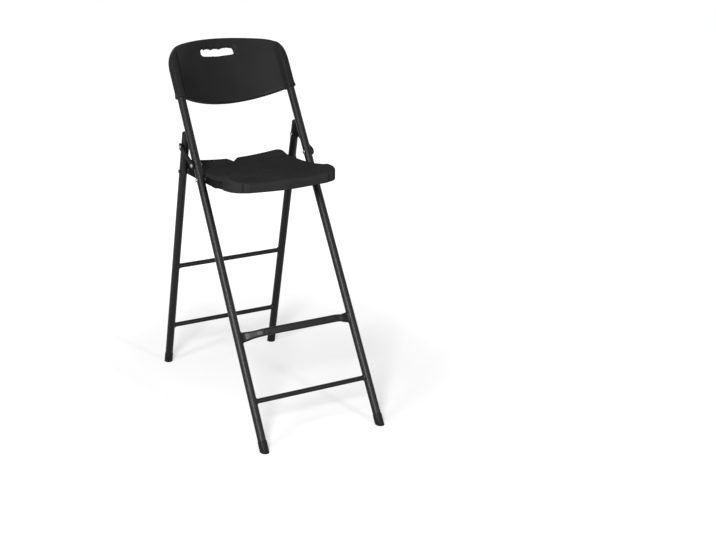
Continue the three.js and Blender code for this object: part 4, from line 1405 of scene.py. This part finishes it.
@dataclass
class SeatRelief:
    """What is cut out of the seat's sides and underside."""

    seat: SeatShell
    rail_below: float = 0.012
    rail_above: float = 0.0076
    rail_front: float = 0.128
    rail_end: float = 0.13906
    rail_flange: float = 0.014
    kick: float = math.tan(math.radians(6))
    strip_half: float = 0.012
    bands: tuple[tuple[float, float], ...] = (
        (0.15095, 0.08918), (0.02278, -0.02162), (-0.03938, -0.083), (-0.10694, -0.15056),
    )
    band_half_width: float = 0.1265
    band_depth: float = 0.008
    band_corner: float = 0.006
    front_band_corner: float = 0.026
    pockets: int = 5
    pocket_width: float = 0.021
    pocket_margin: float = 0.0185
    pocket_depth: float = 0.006
    pocket_corner: float = 0.004
    pocket_inset: float = 0.011
    beyond: float = 0.03

    def rooms(self) -> list[Piece]:
        """Makes all the cutters, in the order in which they cut."""
        high = self.rail_above + LAYOUT.gap + self.seat.groove
        sides = self.beside_rails(self.seat.half_width - self.seat.side_step, high, LAYOUT.gap)
        inner = LAYOUT.rail_inner - self.rail_flange - LAYOUT.gap
        high = -self.rail_below + LAYOUT.rail_thickness + LAYOUT.gap
        flanges = self.beside_rails(inner, high, 2 * LAYOUT.gap)
        bands = joined([self.band(front, rear) for front, rear in self.bands])
        pockets = joined([pocket for band in self.bands for pocket in self.pocket_row(*band)])
        return [sides, flanges, self.strip_channel(), bands, pockets]

    def beside_rails(self, inner: float, high: float, gap: float) -> Piece:
        """Makes a cutter that follows both rails' bent lines.

        Args:
            inner: where it starts, from the middle.
            high: its upper height behind the rails' bend.
            gap: the clearance at the rails' ends, which also keeps two cutters' faces apart.

        Returns:
            The cutter.
        """
        bend, front, end = self.seat.bend, self.rail_front + gap, self.rail_end + gap
        rise, low = (front - bend) * self.kick, -self.rail_below - self.beyond - gap
        outline = [
            (end, low), (end, high), (-bend, high), (-front, high + rise), (-front, low + rise),
            (-bend, low),
        ]
        reach = LAYOUT.rail_outer + self.beyond + gap - inner
        parts = []
        for side in SIDES.values():
            points = [Vector((side * inner, back, up)) for back, up in outline]
            parts.append(prism(points, Vector((side * reach, 0, 0))))
        return joined(parts)

    def strip_channel(self) -> Piece:
        """The channel across the underside that the strip lies in."""
        reach, back = LAYOUT.rail_outer + self.beyond / 2, -self.seat.bend
        points = [
            Vector((x, back + edge * self.strip_half, -self.rail_below - self.beyond / 2))
            for x, edge in [(-reach, -1), (reach, -1), (reach, 1), (-reach, 1)]
        ]
        return prism(points, Vector((0, 0, self.beyond / 2 + LAYOUT.gap)))

    def band(self, front: float, rear: float) -> Piece:
        """A recessed band, its front corners cut off."""
        corner = self.front_band_corner if front > self.seat.bend else self.band_corner
        wide, level = self.band_half_width, self.seat.under(0, front)
        flat = [
            (-wide, rear), (wide, rear), (wide, front - corner), (wide - corner, front),
            (corner - wide, front), (-wide, front - corner),
        ]
        points = [Vector((x, -forward, level - self.beyond)) for x, forward in flat]
        return prism(points, Vector((0, 0, self.beyond + self.band_depth)))

    def pocket_row(self, front: float, rear: float) -> list[Piece]:
        """A band's row of pockets, their upright edges rounded."""
        first = self.band_half_width - self.pocket_margin - self.pocket_width / 2
        half, corner, level = self.pocket_width / 2, self.pocket_corner, self.seat.under(0, front)
        near, far = front - self.pocket_inset, rear + self.pocket_inset
        row = []
        for number in range(self.pockets):
            x = first * (2 * number / (self.pockets - 1) - 1)
            left, right = x - half, x + half
            flat = [
                *curve((right, near - corner), (right, near), (right - corner, near), steps=5),
                *curve((left + corner, near), (left, near), (left, near - corner), steps=5),
                *curve((left, far + corner), (left, far), (left + corner, far), steps=5),
                *curve((right - corner, far), (right, far), (right, far + corner), steps=5),
            ]
            points = [Vector((across, -forward, level)) for across, forward in flat]
            row.append(prism(points, Vector((0, 0, self.band_depth + self.pocket_depth))))
        return row


@dataclass
class Seat:
    """The seat: shell, rails, cross strip, rivets and screws."""

    wardrobe: Wardrobe
    rail_edge: float = 0.0005
    strip_rivet: float = 0.0026
    strip_head: float = 0.005
    strip_height: float = 0.002
    strip_thickness: float = 0.003
    screw_places: tuple[float, float] = (-0.070, 0.096)

    def build(self) -> None:
        """Models the seat."""
        seat = SeatShell()
        relief = SeatRelief(seat)
        piece = seat.shell()
        for room in relief.rooms():
            cut(piece, room)
        self.place("seat_shell", piece, Slot.PLASTIC)
        for node in ["seat_rail_left", "seat_rail_right", "seat_cross_strip"]:
            steel = bevel(merged_copy(node), self.rail_edge)
            self.wardrobe.dress(node, steel, Slot.STEEL, Body.SEAT)
        for name, side in SIDES.items():
            self.rear_head(name, side)
            self.below_rail(name, side, relief)

    def place(self, node: str, piece: Piece, slot: Slot) -> None:
        """Puts a piece from the seat's own place in its place and finishes it."""
        self.wardrobe.dress(node, moved(piece, LAYOUT.seat), slot, Body.SEAT)

    def rear_head(self, name: str, side: int) -> None:
        """Makes the inner length of the rivet at a rail's rear end."""
        gap, shank = LAYOUT.gap, FASTENER.shank
        profile = [(wide, up - gap) for wide, up in flipped(FASTENER.dome)]
        head = turned(profile + [(shank, -gap), (shank, LAYOUT.rail_thickness)])
        span = LAYOUT.span(LAYOUT.seat_pivot, LAYOUT.seat_rear)
        place = running(Vector((side * LAYOUT.rail_inner, span, 0)), Vector((side, 0, 0)))
        self.place(f"seat_rear_rivet_head_{name}", moved(head, place), Slot.BRIGHT)

    def below_rail(self, name: str, side: int, relief: SeatRelief) -> None:
        """Makes one side's strip rivet and rail screws."""
        gap, bend, x = LAYOUT.gap, relief.seat.bend, side * LAYOUT.strip_rivet_x
        length = 2 * self.strip_thickness + 3 * gap + self.strip_head * relief.kick
        dome = scaled(DOME, self.strip_head, self.strip_height)
        rivet = FASTENER.rivet(length, dome, dome, self.strip_rivet)
        below = -relief.rail_below - self.strip_thickness - 2 * gap
        moved(rivet, Matrix.Translation((x, -bend, below)))
        self.place(f"strip_rivet_{name}", rivet, Slot.BRIGHT)
        for number, forward in enumerate(self.screw_places, 1):
            rise = max(0.0, forward - FASTENER.screw_head - bend) * relief.kick
            level = -relief.rail_below + rise - gap
            screw = moved(FASTENER.screw(), Matrix.Translation((x, -forward, level)))
            self.place(f"rail_screw_{name}_{number}", screw, Slot.STEEL)


# Studio


@dataclass(frozen=True)
class Lamp:
    """A soft lamp, aimed at the seat."""

    name: str
    place: tuple[float, float, float]
    size: tuple[float, float]
    power: float


@dataclass
class Studio:
    """A pale floor, soft lamps and the camera."""

    floor_size: float = 14.0
    floor_shade: float = 0.5
    floor_roughness: float = 0.9
    floor_lift: float = 0.5
    floor_near: float = 0.4
    floor_far: float = 1.5
    fill: float = 0.1
    aim: tuple[float, float, float] = (0, 0, 0.65)
    lamps: tuple[Lamp, ...] = (
        Lamp("left strip", (-3.3, -1.15, 1.9), (0.4, 2.2), 66),
        Lamp("right strip", (0.9, -3.4, 1.9), (0.4, 2.2), 44),
        Lamp("front softbox", (-2.5, -3.0, 2.5), (1.0, 1.0), 215),
        Lamp("top softbox", (-0.3, 0.4, 3.8), (2.0, 2.0), 14),
    )
    camera_place: tuple[float, float, float] = (-1.588274, -3.072816, 1.655066)
    yaw: float = math.radians(-26.901)
    pitch: float = math.radians(19.854)
    roll: float = math.radians(0.212)
    lens: float = 59.446
    sensor: float = 36.0
    shift_x: float = 0.13966

    def build(self) -> None:
        """Makes the studio."""
        self.floor()
        self.world()
        for lamp in self.lamps:
            self.light(lamp)
        self.camera()

    def floor(self) -> None:
        """Makes the floor, which fades into the white background."""
        plane = primitive(bpy.ops.mesh.primitive_plane_add, size=self.floor_size)
        plane.name = "floor"
        material = bpy.data.materials.new("pale floor")
        material.use_nodes = True
        tree = material.node_tree
        surface = tree.nodes["Principled BSDF"]
        surface.inputs["Base Color"].default_value = (self.floor_shade,) * 3 + (1,)
        surface.inputs["Roughness"].default_value = self.floor_roughness
        surface.inputs["Specular IOR Level"].default_value = 0.0
        place = added(tree, "TexCoord", {}).outputs["Object"]
        away = added(tree, "VectorMath", {0: place}, operation="LENGTH").outputs["Value"]
        window, ends = (self.floor_near, self.floor_far), (self.floor_lift, 1.0)
        fade = map_range(tree, away, window, ends, interpolation_type="SMOOTHSTEP")
        glow = added(tree, "Emission", {"Color": fade, "Strength": self.seen(tree, 1.0, 0.0)})
        lifted = added(tree, "AddShader", {0: surface.outputs["BSDF"], 1: glow.outputs["Emission"]})
        tree.links.new(lifted.outputs["Shader"], tree.nodes["Material Output"].inputs["Surface"])
        plane.data.materials.append(material)

    def seen(self, tree: bpy.types.NodeTree, shown: float, cast: float) -> Socket:
        """Gives one number for what is seen and another for the light that it casts.

        Args:
            tree: the material's or world's nodes.
            shown: the number for camera, glossy and transmission rays.
            cast: the number for all other rays.

        Returns:
            The socket that gives the number.
        """
        path = added(tree, "LightPath", {})
        either = path.outputs["Is Camera Ray"]
        for ray in ["Is Glossy Ray", "Is Transmission Ray"]:
            both = {0: either, 1: path.outputs[ray]}
            either = added(tree, "Math", both, operation="MAXIMUM").outputs["Value"]
        return map_range(tree, either, (0.0, 1.0), (cast, shown))

    def world(self) -> None:
        """Makes a white world that casts a soft fill."""
        world = bpy.data.worlds.new("studio")
        bpy.context.scene.world = world
        world.use_nodes = True
        tree = world.node_tree
        inputs = tree.nodes["Background"].inputs
        inputs["Color"].default_value = (1, 1, 1, 1)
        tree.links.new(self.seen(tree, 1.0, self.fill), inputs["Strength"])

    def put(self, data: bpy.types.ID, place: Sequence[float], axes: Matrix) -> Piece:
        """Puts a lamp or a camera in its place, with its axes."""
        thing = bpy.data.objects.new(data.name, data)
        bpy.context.scene.collection.objects.link(thing)
        thing.matrix_world = Matrix.Translation(place) @ axes.to_4x4()
        return thing

    def light(self, lamp: Lamp) -> None:
        """Makes a lamp."""
        data = bpy.data.lights.new(lamp.name, "AREA")
        data.shape = "RECTANGLE"
        data.size, data.size_y = lamp.size
        data.energy = lamp.power
        turn = (Vector(self.aim) - Vector(lamp.place)).to_track_quat("-Z", "Y")
        self.put(data, lamp.place, turn.to_matrix())

    def camera(self) -> None:
        """Makes the camera at the photograph's viewing angle."""
        level = math.cos(self.pitch)
        ahead = Vector(
            (-math.sin(self.yaw) * level, math.cos(self.yaw) * level, -math.sin(self.pitch))
        )
        right = ahead.cross(UP).normalized()
        up = right.cross(ahead)
        rolled_right = right * math.cos(self.roll) + up * math.sin(self.roll)
        rolled_up = up * math.cos(self.roll) - right * math.sin(self.roll)
        data = bpy.data.cameras.new("camera")
        data.lens, data.sensor_width, data.shift_x = self.lens, self.sensor, self.shift_x
        axes = Matrix((rolled_right, rolled_up, -ahead)).transposed()
        bpy.context.scene.camera = self.put(data, self.camera_place, axes)


def main() -> None:
    """Builds the stool's sub-assemblies in order, and the studio."""
    logging.basicConfig(level=logging.INFO, format="%(name)s: %(message)s")
    wardrobe = Wardrobe()
    for assembly in (FrontFrame, RearFrame, LinkPlates, Backrest, Seat):
        assembly(wardrobe).build()
    Studio().build()
    bpy.context.scene.view_settings.view_transform = "Standard"


if __name__ == "__main__":
    main()
